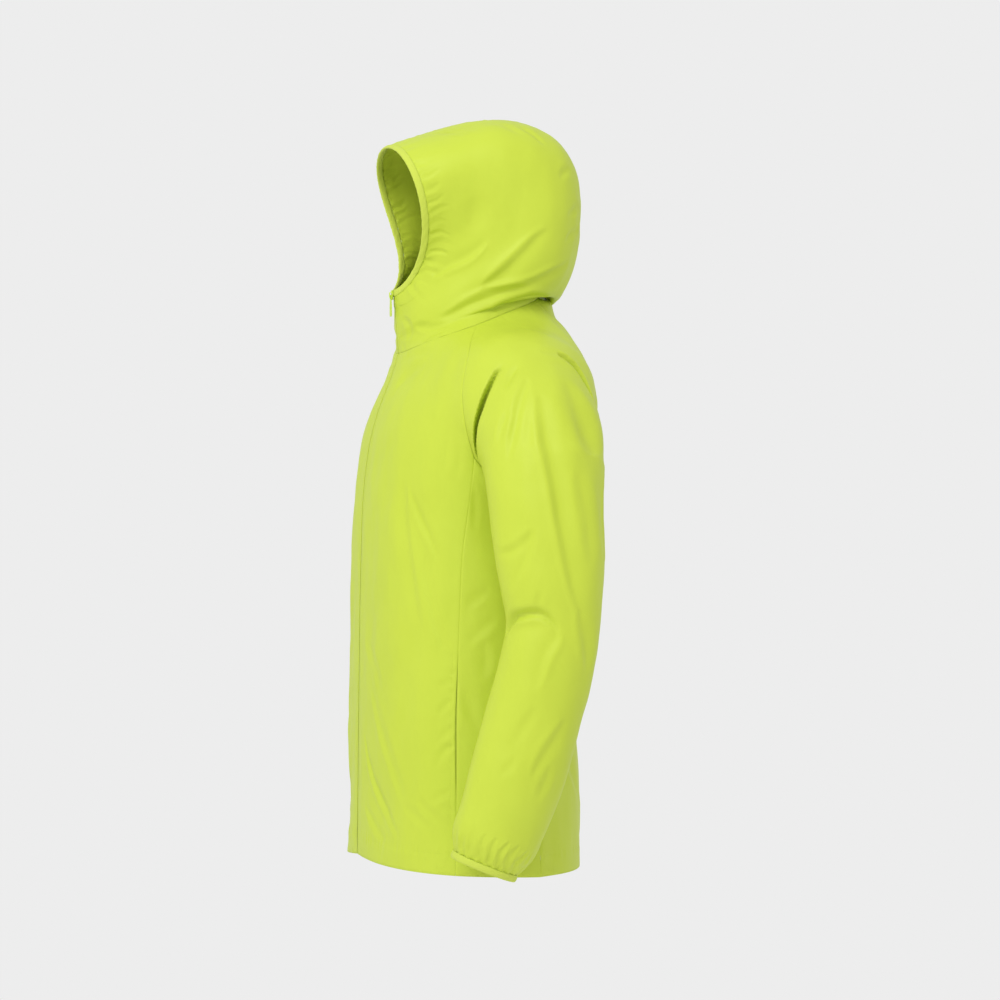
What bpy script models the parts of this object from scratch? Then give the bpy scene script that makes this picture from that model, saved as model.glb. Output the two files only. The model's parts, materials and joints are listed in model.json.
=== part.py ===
"""Hooded windbreaker jacket, zipped to the chin and filled out as it is worn, with no wearer in it.

The walls are cut as a maker cuts the cloth: two fronts, a narrow side panel under each arm, a
one-piece back, raglan sleeves, and a two-piece hood whose stand collar is cut in one with it.
Every body panel lies on one general figure: level oval sections for the trunk and a tapering
tube for each arm, blended at the shoulders. The hood is a fan of hoops, opened from the neck
seam over the head to the face edge.

Metres, +Z up. The front faces -Y, and +X is the wearer's left. The origin is in the middle of
the neck base, at the height of the shoulders.
"""

import math

import bmesh
import bpy
import numpy as np
from mathutils import Matrix, Vector

# ---------------------------------------------------------------- driving dimensions

CLOTH = 0.0012  # wall of every cloth piece
SEAM_INSET = 0.0002  # each piece's share of the gap in a seam
NECK_INSET = 0.00025  # the same where hood and body meet at an angle
LIME = (0.62, 0.79, 0.09)
LIME_DARK = (0.40, 0.55, 0.05)

# The trunk, as level oval sections:
# height, front, back, half width, squareness in front and behind
TRUNK = (
    (0.060, -0.050, 0.060, 0.040, 2.0, 2.0),
    (0.034, -0.056, 0.088, 0.064, 2.0, 2.0),
    (0.018, -0.062, 0.111, 0.078, 2.0, 2.1),
    (-0.004, -0.068, 0.124, 0.097, 2.0, 2.1),
    (-0.020, -0.077, 0.133, 0.130, 1.9, 2.2),
    (-0.042, -0.0835, 0.141, 0.170, 1.9, 2.3),
    (-0.070, -0.092, 0.150, 0.190, 2.0, 2.4),
    (-0.104, -0.106, 0.156, 0.194, 2.2, 2.6),
    (-0.144, -0.118, 0.154, 0.190, 2.4, 2.5),
    (-0.200, -0.127, 0.147, 0.183, 2.5, 2.4),
    (-0.300, -0.1315, 0.140, 0.185, 2.5, 2.3),
    (-0.450, -0.134, 0.137, 0.196, 2.4, 2.2),
    (-0.700, -0.1365, 0.137, 0.213, 2.4, 2.2),
)

# The left arm, as rounded stretches between places on its axis:
# out, back, height, radius front to back
ARM = (
    (0.165, 0.035, -0.098, 0.074),
    (0.222, 0.037, -0.150, 0.0775),
    (0.249, 0.036, -0.200, 0.0725),
    (0.266, 0.037, -0.284, 0.0690),
    (0.272, 0.040, -0.341, 0.0630),
    (0.274, 0.041, -0.370, 0.0575),
    (0.275, 0.033, -0.417, 0.0580),
    (0.275, 0.022, -0.457, 0.0575),
    (0.273, 0.007, -0.515, 0.0585),
    (0.270, -0.010, -0.572, 0.0590),
    (0.266, -0.026, -0.618, 0.0545),
    (0.262, -0.040, -0.654, 0.0410),
)
ARM_FLATNESS = 0.82  # an arm's width across over its depth front to back
SHOULDER_BLEND = 0.050  # how softly trunk and arm flow together above the armpit
ARMPIT_BLEND = 0.014
SHOULDER_HEIGHT = -0.090
ARMPIT_HEIGHT = -0.185
PARTING = 0.1  # how far trunk and arm are held apart below the armpit, between these depths
PARTING_DEPTHS = (0.165, 0.205)
ARM_START = ((0.045, 0.010, -0.062), (0.105, 0.024, -0.078))  # its axis inside the collar

# The neck seam, level by level round the neck
NECK_CENTRE_BACK = 0.002
NECK_HEIGHT = -0.006  # at the sides
NECK_RISE = 0.036  # nape over side, and side over throat
NECK_RAGLAN_FRONT = math.radians(-6)  # where the raglan seams start, from the side
NECK_RAGLAN_BACK = math.radians(54)

# Points of the front raglan seam: out, back, height
RAGLAN_FRONT = (
    (0.134, -0.024, -0.029),
    (0.170, -0.038, -0.054),
    (0.180, -0.046, -0.078),
    (0.187, -0.051, -0.104),
    (0.191, -0.050, -0.1255),
    (0.1875, -0.0435, -0.147),
)
# The armhole's bottom and the side-panel seams, in the side view: back, height
ARMHOLE_FRONT = (-0.032, -0.1745)
ARMHOLE_BOTTOM = ((-0.010, -0.192), (0.022, -0.200), (0.052, -0.194))
ARMHOLE_BACK = (0.070, -0.175)
SIDE_FRONT = (
    (-0.0372, -0.225),
    (-0.047, -0.290),
    (-0.050, -0.345),
    (-0.0537, -0.413),
    (-0.0582, -0.580),
    (-0.0605, -0.6755),
)
SIDE_BACK = ((0.062, -0.290), (0.052, -0.480), (0.0436, -0.679))
# The back raglan seam, in the back view: out, height
RAGLAN_BACK = ((0.064, -0.006), (0.078, -0.030), (0.104, -0.064), (0.128, -0.095), (0.152, -0.129))

HEM_FRONT = -0.6645  # the hem drops a little from the zip to the back
HEM_BACK = -0.676

RAGLAN_ROWS = 8
ARMHOLE_ROWS = 3
SKIRT_ROWS = 14
SLEEVE_ROWS = 14
# Columns across each piece: a multiple of the hood's columns that it meets at the neck
FRONT_COLUMNS = 14
BACK_COLUMNS = 6  # on each half
SLEEVE_COLUMNS = 20

# The zip
ZIP_HALF_OPENING = 0.0014  # from the middle to each front edge
ZIP_OUT = 0.12  # of the trunk's axis
CHIN = (-0.0900, 0.036)  # top of the zip: back, height

# The hood, as hoops from the zip edge round to the centre seam:
# share of the way, share up the zip edge, centre seam back, centre seam height, half width,
# lift of the sides, squareness, sides set back, egg (wider towards the centre seam)
HOOD = (
    (0.00, 0.00, 0.094, 0.030, 0.090, 0.000, 2.0, 0.000, 0.00),
    (0.06, 0.10, 0.096, 0.044, 0.085, 0.004, 2.0, 0.002, 0.00),
    (0.13, 0.22, 0.116, 0.020, 0.093, 0.015, 2.1, 0.004, 0.00),
    (0.21, 0.33, 0.130, 0.040, 0.100, 0.015, 2.2, 0.006, 0.04),
    (0.32, 0.46, 0.143, 0.083, 0.104, 0.012, 2.3, 0.008, 0.08),
    (0.44, 0.59, 0.147, 0.132, 0.106, 0.006, 2.3, 0.010, 0.12),
    (0.56, 0.70, 0.1415, 0.184, 0.106, 0.000, 2.3, 0.012, 0.18),
    (0.68, 0.80, 0.114, 0.2315, 0.104, 0.000, 2.3, 0.014, 0.24),
    (0.79, 0.88, 0.062, 0.252, 0.100, 0.000, 2.3, 0.016, 0.32),
    (0.90, 0.95, -0.012, 0.248, 0.093, 0.000, 2.2, 0.019, 0.40),
    (1.00, 1.00, -0.101, 0.2140, 0.084, 0.000, 2.0, 0.0215, 0.46),
)
SET_BACK_LOW = 0.64  # how much more the sides are set back towards the chin
HOOD_PLACES = (  # rows of the hood, as shares of the way to its gathered edge
    (0.0, 0.03, 0.06, 0.095, 0.13, 0.17, 0.21, 0.27)
    + (0.34, 0.42, 0.50, 0.58, 0.66, 0.74, 0.82, 0.90)
)
HOOD_COLUMNS = 15
NECK_FADE = 0.20  # share of the hood's way in which it leaves the neck seam's own line
NECK_BOW_FADE = 1.5  # power by which the fronts' rows lose the neck seam's bow

# Elastic gathers at the cuffs and at the face edge
CUFF_GATHERS = 20
CUFF_BRIDGE = 0.012  # from the last plain row to the first gathered one
CUFF_GATHER_DEPTH = 0.0020
CUFF_GATHER_ROWS = ((0.034, 0.0), (0.025, 0.5), (0.017, 0.9), (0.009, 1.0), (0.0, 0.4))
HOOD_GATHERS = 16  # on each half
HOOD_GATHER_DEPTH = 0.0012
HOOD_GATHER_REACH = 0.020
HOOD_GATHERS_FROM_ZIP = (0.03, 0.14)  # share of the way round in which they set in
HOOD_GATHER_ROWS = ((1.0, 0.0), (0.62, 0.6), (0.3, 1.0), (0.0, 0.4))
HOOD_REACH_LIMIT = 0.62  # towards the chin the gathers start no further back than this

BINDING_WIDTH = 0.0085
BINDING_THICKNESS = 0.0030
BINDING_GAP = 0.0003

# The zip behind the front edges
TAPE_COLUMNS = (0.0031, 0.0150)  # out from the middle
TAPE_THICKNESS = 0.0009
BEHIND_WALL = 0.0004  # between a wall and what lies behind it
COIL_HALF_WIDTH = 0.0027
COIL_THICKNESS = 0.0015

# Slider and pull tab, along the collar: across, thick, up
SLIDER_HEIGHT = 0.0305
SLIDER_PLATE = (0.0080, 0.0012, 0.0120)
SLIDER_NECK = (0.0020, 0.0050, 0.0040)
SLIDER_NECK_UP = 0.0030  # over the slider's middle
SLIDER_BEVEL = 0.00025
SLIDER_FRONT = 0.0012  # plate in front of the cloth's face, clear of the binding
SLIDER_BACK = 0.0034  # plate behind the cloth's face
BAIL_WIDTH = 0.0016
BAIL_BAR = 0.0010
BAIL_GAP = (0.0022, 0.0051)  # deep, tall
PULL_ROD_RADIUS = 0.0006
PULL_PLATE = (0.0080, 0.0012, 0.0270)
PULL_WINDOW = (0.0022, 0.0049)
PULL_ABOVE = 0.0004
PULL_BEVEL = 0.0001

# Pocket bags behind the fronts: a slit in the side-panel seam, and the bag's own height
SLIT_TOP = -0.431
SLIT_BOTTOM = -0.582
SLIT_OPENING = 0.0022
POCKET_ROWS = slice(6, 14)  # of the side seam's, from the armhole down
POCKET_COLUMNS = 8
POCKET_FROM_SEAM = 0.0013

UNDERARM_RELIEF = (0.006, 0.004, 0.0015)  # how far the side panel stands back under the sleeve

# Corners of the bindings' section, as shares of half the width and half the thickness
BINDING_SECTION = (
    (-1, 0),
    (-0.75, -1),
    (0.75, -1),
    (1, 0),
    (0.75, 1),
    (-0.75, 1),
)

LEAST_LEAN = 0.35  # keeps a wall's corner from growing too long in a sharp seam

# How finely curves and surfaces are followed
CURVE_STEPS = 400
ARM_STEPS = 700
SLOPE_STEP = 0.0005
RAY_REACH = 0.45
ARM_RAY_REACH = 0.2
RAY_STEPS = 90
RAY_HALVINGS = 24
SETTLE_ROUNDS = 12
SETTLE_SHARE = 0.8
EASE_ROUNDS = 6
EASE_SHARES = (0.5, -0.53)  # smooths small bumps, and gives the larger form back
RIM_SEARCH_FROM = 0.4  # share of the hood's way
RIM_SEARCH_STEPS = 240
FAR_OFF = 9.0

FOLD_ENDS = 0.12  # a fold's depth at its ends starts this share into a half wave

# The largest folds: half width, depth, and the valley's line as out, back, height
FOLDS = (
    (0.013, 0.006, ((0.222, -0.004, -0.066), (0.224, -0.030, -0.099), (0.221, -0.040, -0.143))),
    (0.015, 0.006, ((0.206, 0.072, -0.048), (0.204, 0.096, -0.067), (0.207, 0.107, -0.092))),
    (0.016, 0.005, ((0.264, 0.003, -0.105), (0.282, -0.012, -0.163), (0.291, -0.016, -0.209))),
    (0.018, 0.005, ((0.281, 0.025, -0.127), (0.310, 0.037, -0.213), (0.321, 0.051, -0.315))),
    (0.016, 0.004, ((0.269, 0.063, -0.110), (0.279, 0.080, -0.137), (0.286, 0.079, -0.165))),
    (0.014, 0.006, ((0.268, -0.019, -0.382), (0.309, 0.001, -0.361), (0.320, 0.028, -0.375))),
    (0.016, 0.005, ((0.288, -0.028, -0.272), (0.310, -0.003, -0.275), (0.309, 0.005, -0.260))),
    (0.016, 0.005, ((0.313, -0.026, -0.522), (0.318, -0.008, -0.500), (0.320, 0.009, -0.477))),
    (0.016, 0.005, ((0.240, 0.090, -0.300), (0.262, 0.096, -0.330), (0.285, 0.088, -0.350))),
    (0.020, 0.006, ((0.121, -0.108, -0.200), (0.146, -0.100, -0.260), (0.165, -0.085, -0.330))),
    (0.018, 0.004, ((0.088, -0.074, -0.060), (0.059, -0.086, -0.071), (0.038, -0.094, -0.087))),
    (0.022, 0.006, ((0.150, 0.120, -0.220), (0.120, 0.135, -0.300), (0.100, 0.137, -0.380))),
    (0.022, 0.006, ((0.030, 0.140, -0.420), (0.070, 0.132, -0.500), (0.110, 0.118, -0.560))),
    (0.022, 0.006, ((0.040, -0.130, -0.560), (0.080, -0.125, -0.600), (0.120, -0.112, -0.640))),
    (0.012, 0.006, ((0.097, -0.046, 0.022), (0.104, 0.020, 0.040), (0.075, 0.085, 0.045))),
    (0.012, 0.005, ((0.104, -0.020, 0.046), (0.108, 0.005, 0.070), (0.105, 0.040, 0.110))),
)

# ---------------------------------------------------------------- smooth curves


def smooth_columns(table, at):
    """Each further column of a table, at the given values of its first, on smooth curves."""
    table = np.asarray(table, float)
    table = table[np.argsort(table[:, 0])]
    places = table[:, 0]
    at = np.clip(at, places[0], places[-1])
    low = np.clip(np.searchsorted(places, at, side="right") - 1, 0, len(places) - 2)
    step = places[low + 1] - places[low]
    t = (at - places[low]) / step
    columns = []
    for values in table[:, 1:].T:
        slopes = np.gradient(values, places)
        columns.append(
            (1 + 2 * t) * (1 - t) ** 2 * values[low]
            + t * (1 - t) ** 2 * step * slopes[low]
            + t**2 * (3 - 2 * t) * values[low + 1]
            - t**2 * (1 - t) * step * slopes[low + 1]
        )
    return columns


def smooth_curve(points, segments):
    """Evenly spaced points on a smooth curve through the given ones."""
    points = np.asarray(points, float)
    places = np.concatenate([[0], np.cumsum(np.linalg.norm(np.diff(points, axis=0), axis=1))])
    table = np.column_stack([places, points])
    fine = np.stack(smooth_columns(table, np.linspace(0, places[-1], CURVE_STEPS)), axis=-1)
    along = np.concatenate([[0], np.cumsum(np.linalg.norm(np.diff(fine, axis=0), axis=1))])
    even = np.linspace(0, along[-1], segments + 1)
    return np.stack([np.interp(even, along, fine[:, axis]) for axis in range(3)], axis=-1)


def ramp(values, start, end):
    """0 before start, 1 after end, and a smooth rise between them."""
    t = np.clip((values - start) / (end - start), 0, 1)
    return t * t * (3 - 2 * t)


# ---------------------------------------------------------------- the general figure


def trunk(points):
    """How far points lie outside the trunk, below zero inside it."""
    front, back, half_width, in_front, behind = smooth_columns(TRUNK, points[..., 2])
    middle = (front + back) / 2
    half_depth = (back - front) / 2
    squareness = np.where(points[..., 1] < middle, in_front, behind)
    across = np.abs(points[..., 0] / half_width) ** squareness
    deep = np.abs((points[..., 1] - middle) / half_depth) ** squareness
    return ((across + deep) ** (1 / squareness) - 1) * half_depth


def arm(points):
    """How far points lie outside the nearer arm."""
    places = np.asarray(ARM)
    points = points.copy()
    points[..., 0] = np.abs(points[..., 0])
    nearest = np.full(points.shape[:-1], FAR_OFF)
    for start, end in zip(places[:-1], places[1:]):
        along = end[:3] - start[:3]
        share = np.clip((points - start[:3]) @ along / (along @ along), 0, 1)
        away = points - start[:3] - share[..., None] * along
        away[..., 0] /= ARM_FLATNESS
        radius = start[3] + share * (end[3] - start[3])
        nearest = np.minimum(nearest, np.linalg.norm(away, axis=-1) - radius)
    return nearest


def blended(first, second, softness):
    """Two shapes flowing into each other."""
    share = np.clip(0.5 + 0.5 * (second - first) / softness, 0, 1)
    return second * (1 - share) + first * share - softness * share * (1 - share)


def figure(points):
    """Trunk and arms as one form."""
    rise = ramp(points[..., 2], ARMPIT_HEIGHT, SHOULDER_HEIGHT)
    softness = ARMPIT_BLEND + (SHOULDER_BLEND - ARMPIT_BLEND) * rise
    return blended(trunk(points), arm(points), softness)


def parted(points):
    """0 above the armpit and growing below it, where trunk and arm are forms of their own."""
    return PARTING * ramp(-points[..., 2], *PARTING_DEPTHS)


def trunk_form(points):
    """What the body panels lie on: the figure, without the arms below the armpit."""
    rise = ramp(points[..., 2], ARMPIT_HEIGHT, SHOULDER_HEIGHT)
    softness = ARMPIT_BLEND + (SHOULDER_BLEND - ARMPIT_BLEND) * rise
    return blended(trunk(points), arm(points) + parted(points), softness)


def sleeve_form(points):
    """What a sleeve lies on: the figure, without the trunk below the armpit."""
    rise = ramp(points[..., 2], ARMPIT_HEIGHT, SHOULDER_HEIGHT)
    softness = ARMPIT_BLEND + (SHOULDER_BLEND - ARMPIT_BLEND) * rise
    return blended(trunk(points) + parted(points), arm(points), softness)


def outward(form, points):
    """The directions in which the form is left soonest."""
    steps = SLOPE_STEP * np.eye(3)
    slopes = [form(points + step) - form(points - step) for step in steps]
    slopes = np.stack(slopes, axis=-1)
    return slopes / np.maximum(np.linalg.norm(slopes, axis=-1, keepdims=True), 1e-9)


def first_exit(form, starts, directions, reach=RAY_REACH):
    """Where rays from inside first leave the form."""
    starts, directions = np.broadcast_arrays(starts, directions)
    low = np.zeros(starts.shape[:-1])
    found = np.zeros(starts.shape[:-1], bool)
    for share in np.linspace(0, reach, RAY_STEPS + 1)[1:]:
        outside = form(starts + share * directions) > 0
        low = np.where(found | outside, low, share)
        found |= outside
    high = low + reach / RAY_STEPS
    for _ in range(RAY_HALVINGS):
        middle = (low + high) / 2
        inside = form(starts + middle[..., None] * directions) < 0
        low = np.where(inside, middle, low)
        high = np.where(inside, high, middle)
    return starts + low[..., None] * directions


def settled(form, points):
    """Points moved onto the form by the shortest way."""
    for _ in range(SETTLE_ROUNDS):
        points = points - SETTLE_SHARE * form(points)[..., None] * outward(form, points)
    return points


# ---------------------------------------------------------------- seams


NECK_ANGLES = np.linspace(-math.pi / 2, math.pi / 2, HOOD_COLUMNS + 1)


def neck_corners():
    """The corners of the left half of the neck seam, from throat to nape, one a hood column."""
    height = NECK_HEIGHT + NECK_RISE * np.sin(NECK_ANGLES)
    starts = np.stack([0 * height, 0 * height + NECK_CENTRE_BACK, height], axis=-1)
    directions = np.stack([np.cos(NECK_ANGLES), np.sin(NECK_ANGLES), 0 * height], axis=-1)
    return first_exit(figure, starts, directions)


NECK_CORNERS = neck_corners()


def round_neck(angle, corner_values):
    """Values at an angle round the neck, straight between the seam's corners."""
    found = [np.interp(angle, NECK_ANGLES, values) for values in np.asarray(corner_values).T]
    return np.stack(found, axis=-1)


def neck_point(angle):
    """A point of the neck seam: -90 degrees is the throat, 0 the left side and 90 the nape."""
    return round_neck(angle, NECK_CORNERS)


def on_side(places):
    """Seam points given by back and height, on the left side of the figure."""
    places = np.asarray(places, float)
    starts = np.column_stack([np.zeros(len(places)), places])
    return settled(figure, first_exit(trunk, starts, (1.0, 0.0, 0.0)))


def on_back(places):
    """Seam points given by out and height, on the back of the figure."""
    places = np.asarray(places, float)
    starts = np.column_stack([places[:, 0], np.zeros(len(places)), places[:, 1]])
    return settled(figure, first_exit(trunk, starts, (0.0, 1.0, 0.0)))


def on_trunk_side(places):
    """Side-panel seam points below the armpit, given by back and height."""
    places = np.asarray(places, float)
    starts = np.column_stack([np.zeros(len(places)), places])
    return first_exit(trunk, starts, (1.0, 0.0, 0.0))


def seam_lines():
    """Every seam that two pieces share, as points that both take."""
    front, bottom, back = (
        on_side([ARMHOLE_FRONT]),
        on_side(ARMHOLE_BOTTOM),
        on_side([ARMHOLE_BACK]),
    )
    raglan_front = np.vstack([neck_point([NECK_RAGLAN_FRONT]), RAGLAN_FRONT, front])
    raglan_back = np.vstack([neck_point([NECK_RAGLAN_BACK]), on_back(RAGLAN_BACK), back])
    armhole = smooth_curve(np.vstack([front, bottom, back]), 2 * ARMHOLE_ROWS)
    side_front = np.vstack([front, on_trunk_side(SIDE_FRONT)])
    side_back = np.vstack([back, on_trunk_side(SIDE_BACK)])
    return {
        "raglan_front": settled(figure, smooth_curve(raglan_front, RAGLAN_ROWS)),
        "raglan_back": settled(figure, smooth_curve(raglan_back, RAGLAN_ROWS)),
        "armhole": armhole,
        "side_front": smooth_curve(side_front, SKIRT_ROWS),
        "side_back": smooth_curve(side_back, SKIRT_ROWS),
    }


# ---------------------------------------------------------------- panels as grids of points


def round_trunk(angles, heights):
    """Points of the trunk form at angles round its axis and at heights."""
    starts = np.stack([0 * angles, 0 * angles + NECK_CENTRE_BACK, heights], axis=-1)
    directions = np.stack([np.cos(angles), np.sin(angles), 0 * angles], axis=-1)
    return first_exit(trunk_form, starts, directions)


def angle_of(points):
    """Angles of points round the trunk's axis."""
    return np.arctan2(points[..., 1] - NECK_CENTRE_BACK, points[..., 0])


def inset(grid, side, amount=SEAM_INSET):
    """Moves one border of a grid a little into its piece, to leave the seam's gap."""
    border, inner = {
        "top": (grid[0], grid[1]),
        "bottom": (grid[-1], grid[-2]),
        "first": (grid[:, 0], grid[:, 1]),
        "last": (grid[:, -1], grid[:, -2]),
    }[side]
    away = inner - border
    amount = np.reshape(amount * np.ones(len(border)), (-1, 1))
    border += amount * away / np.linalg.norm(away, axis=-1, keepdims=True)


def eased(grid):
    """A grid with the bumps between its borders smoothed out, its larger form kept."""
    for share in EASE_SHARES * EASE_ROUNDS:
        middle = (grid[:-2, 1:-1] + grid[2:, 1:-1] + grid[1:-1, :-2] + grid[1:-1, 2:]) / 4
        grid[1:-1, 1:-1] += share * (middle - grid[1:-1, 1:-1])
    return grid


def front_grid(seams):
    """The left front: rows from neck to hem, columns from the zip to the raglan and side seams."""
    side = np.vstack([seams["raglan_front"], seams["side_front"][1:]])
    throat = neck_point(-math.pi / 2)[2]
    zip_heights = np.concatenate(
        [
            np.linspace(throat, ARMHOLE_FRONT[1], RAGLAN_ROWS + 1),
            np.linspace(ARMHOLE_FRONT[1], HEM_FRONT, SKIRT_ROWS + 1)[1:],
        ]
    )
    share = np.linspace(0, 1, FRONT_COLUMNS + 1)
    neck = neck_point(-math.pi / 2 + share * (NECK_RAGLAN_FRONT + math.pi / 2))
    neck_bow = neck[:, 2] - (neck[0, 2] + share * (neck[-1, 2] - neck[0, 2]))
    fade = np.clip(1 - np.arange(len(side)) / RAGLAN_ROWS, 0, 1)[:, None]
    heights = zip_heights[:, None] + share * (side[:, 2:] - zip_heights[:, None])
    heights = heights + fade**NECK_BOW_FADE * neck_bow
    start = -math.pi / 2 + ZIP_HALF_OPENING / ZIP_OUT
    angles = start + share * (angle_of(side)[:, None] - start)
    grid = round_trunk(angles, heights)
    grid[:, 0, 0] = ZIP_HALF_OPENING
    grid[:, -1] = side
    eased(grid)
    inset(grid, "top", NECK_INSET)
    slit = np.clip((SLIT_TOP - side[:, 2]) / (SLIT_TOP - SLIT_BOTTOM), 0, 1)
    inset(grid, "last", SEAM_INSET + SLIT_OPENING * np.sin(math.pi * slit))
    return grid


def side_grid(seams):
    """The left side panel: rows from the armhole bottom to the hem, columns front to back."""
    share = np.linspace(0, 1, 2 * ARMHOLE_ROWS + 1)
    down = np.linspace(0, 1, SKIRT_ROWS + 1)[:, None]
    front, back, top = seams["side_front"], seams["side_back"], seams["armhole"]
    straight = front[0, 2] + share * (back[0, 2] - front[0, 2])
    heights = front[:, 2:] + share * (back[:, 2:] - front[:, 2:])
    heights = heights + (1 - down) ** 2 * (top[:, 2] - straight)
    angles = angle_of(front)[:, None] + share * (angle_of(back) - angle_of(front))[:, None]
    grid = round_trunk(angles, heights)
    grid[0], grid[:, 0], grid[:, -1] = top, front, back
    eased(grid)
    for row, relief in enumerate(UNDERARM_RELIEF, start=1):
        grid[row, :, 0] -= relief * np.sin(math.pi * share)
    for border in ("top", "first", "last"):
        inset(grid, border)
    return grid


def back_grid(seams):
    """The left half of the back: rows from neck to hem, columns from the seams to the middle."""
    side = np.vstack([seams["raglan_back"], seams["side_back"][1:]])
    nape = neck_point(math.pi / 2)[2]
    middle_heights = np.concatenate(
        [
            np.linspace(nape, ARMHOLE_BACK[1], RAGLAN_ROWS + 1),
            np.linspace(ARMHOLE_BACK[1], HEM_BACK, SKIRT_ROWS + 1)[1:],
        ]
    )
    share = np.linspace(0, 1, BACK_COLUMNS + 1)
    bow = 1 - (share - 1) ** 2
    heights = side[:, 2:] + bow * (middle_heights[:, None] - side[:, 2:])
    neck = neck_point(NECK_RAGLAN_BACK + share * (math.pi / 2 - NECK_RAGLAN_BACK))
    fade = np.clip(1 - np.arange(len(side)) / RAGLAN_ROWS, 0, 1)[:, None]
    heights = heights + fade**2 * (neck[:, 2] - heights[0])
    angles = angle_of(side)[:, None]
    angles = angles + share * (math.pi / 2 - angles)
    grid = round_trunk(angles, heights)
    grid[:, 0] = side
    grid[:, -1, 0] = 0
    eased(grid)
    inset(grid, "top", NECK_INSET)
    inset(grid, "first")
    return grid


def along_arm():
    """The arm's axis from inside the collar to the cuff: points and directions."""
    places = smooth_curve(np.vstack([ARM_START, np.asarray(ARM)[:, :3]]), ARM_STEPS)
    directions = np.gradient(places, axis=0)
    return places, directions / np.linalg.norm(directions, axis=1, keepdims=True)


def round_arm(centres, ahead, angles):
    """Points of the sleeve form at angles round the arm: 0 is outward, pi the underarm."""
    out = np.cross(ahead, (0.0, 1.0, 0.0))
    out /= np.linalg.norm(out, axis=-1, keepdims=True)
    rear = np.cross(out, ahead)
    rays = np.cos(angles)[..., None] * out + np.sin(angles)[..., None] * rear
    return first_exit(sleeve_form, centres, rays, reach=ARM_RAY_REACH)


def angles_round_arm(path, centres, ahead, sign):
    """Angles of seam points round the arm, and how far each lies ahead of its row's centre."""
    out = np.cross(ahead, (0.0, 1.0, 0.0))
    out /= np.linalg.norm(out, axis=-1, keepdims=True)
    rear = np.cross(out, ahead)
    offset = path - centres
    angle = np.arctan2((offset * rear).sum(-1), (offset * out).sum(-1))
    angle = np.where(angle * sign < 0, angle + sign * 2 * math.pi, angle)
    angle[-1] = sign * math.pi
    return angle, (offset * ahead).sum(-1)


def sleeve_grid(seams):
    """The left sleeve: rows from neck to cuff, columns round from the front seam to the back one.

    Below the armpit the first and last columns meet in the underarm seam.
    """
    armhole = seams["armhole"]
    front = np.vstack([seams["raglan_front"], armhole[1 : ARMHOLE_ROWS + 1]])
    back = np.vstack([seams["raglan_back"], armhole[::-1][1 : ARMHOLE_ROWS + 1]])
    axis, directions = along_arm()
    chosen = []
    for point in (front + back) / 2:
        ahead = ((point - axis) * directions).sum(-1)
        chosen.append(int(np.argmin(np.abs(ahead))))
    end = np.argmin(np.abs(from_cuff(axis) - CUFF_GATHER_ROWS[0][0] - CUFF_BRIDGE))
    lower = np.linspace(chosen[-1], end, SLEEVE_ROWS + 1)[1:].astype(int)
    chosen = np.concatenate([chosen, lower])
    centres, ahead = axis[chosen], directions[chosen]

    count = len(front)
    below = np.arange(1, SLEEVE_ROWS + 1)
    ends = []
    for path, sign in ((front, -1), (back, 1)):
        angle, shift = angles_round_arm(path, centres[:count], ahead[:count], sign)
        angle = np.concatenate([angle, np.full(SLEEVE_ROWS, sign * math.pi)])
        shift = np.concatenate([shift, shift[-1] * np.clip(1 - below / 3, 0, 1)])
        ends.append((angle[:, None], shift[:, None]))
    (front_angle, front_shift), (back_angle, back_shift) = ends
    share = np.linspace(0, 1, SLEEVE_COLUMNS + 1)
    angles = front_angle + share * (back_angle - front_angle)
    shifts = np.clip(angles / front_angle, 0, 1) ** 2 * front_shift
    shifts = shifts + np.clip(angles / back_angle, 0, 1) ** 2 * back_shift
    centres = centres[:, None] + shifts[..., None] * ahead[:, None]
    grid = round_arm(centres, ahead[:, None], angles)
    grid[0] = neck_point(NECK_RAGLAN_FRONT + share * (NECK_RAGLAN_BACK - NECK_RAGLAN_FRONT))
    grid[:count, 0], grid[:count, -1] = front, back
    grid[count:, -1] = grid[count:, 0]
    inset(grid, "top", NECK_INSET)
    for border in ("first", "last"):
        inset(grid[: count - 1], border)
    down = grid[count, 0] - front[-1]
    grid[count - 1, 0] += 2 * SEAM_INSET * down / np.linalg.norm(down)
    grid[count - 1, -1] = grid[count - 1, 0]
    return grid


def from_cuff(axis):
    """Distances of the axis points from the sleeve's end."""
    steps = np.linalg.norm(np.diff(axis, axis=0), axis=1)
    return np.concatenate([np.cumsum(steps[::-1])[::-1], [0.0]])


def cuff_grid(depth):
    """The sleeve's gathered end: rows to the cloth's edge, two columns for each gather."""
    axis, directions = along_arm()
    away = from_cuff(axis)
    chosen = [int(np.argmin(np.abs(away - place))) for place, _ in CUFF_GATHER_ROWS]
    angles = np.linspace(-math.pi, math.pi, 2 * CUFF_GATHERS + 1)
    angles = np.tile(angles, (len(chosen), 1))
    grid = round_arm(axis[chosen][:, None], directions[chosen][:, None], angles)
    grid[:, -1] = grid[:, 0]
    return gathered(grid, facing(grid, closed=True), CUFF_GATHER_ROWS, depth)


def way_short_of_rim(share, distance):
    """The way round the hood that ends a distance short of the face edge."""
    ways = np.linspace(RIM_SEARCH_FROM, 1, RIM_SEARCH_STEPS + 1)[:, None]
    points = hood_points(ways, share[None])
    steps = np.linalg.norm(np.diff(points, axis=0), axis=-1)
    left = np.concatenate([np.cumsum(steps[::-1], axis=0)[::-1], np.zeros((1, len(share)))])
    return np.array([np.interp(-distance, -column, ways[:, 0]) for column in left.T])


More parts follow.
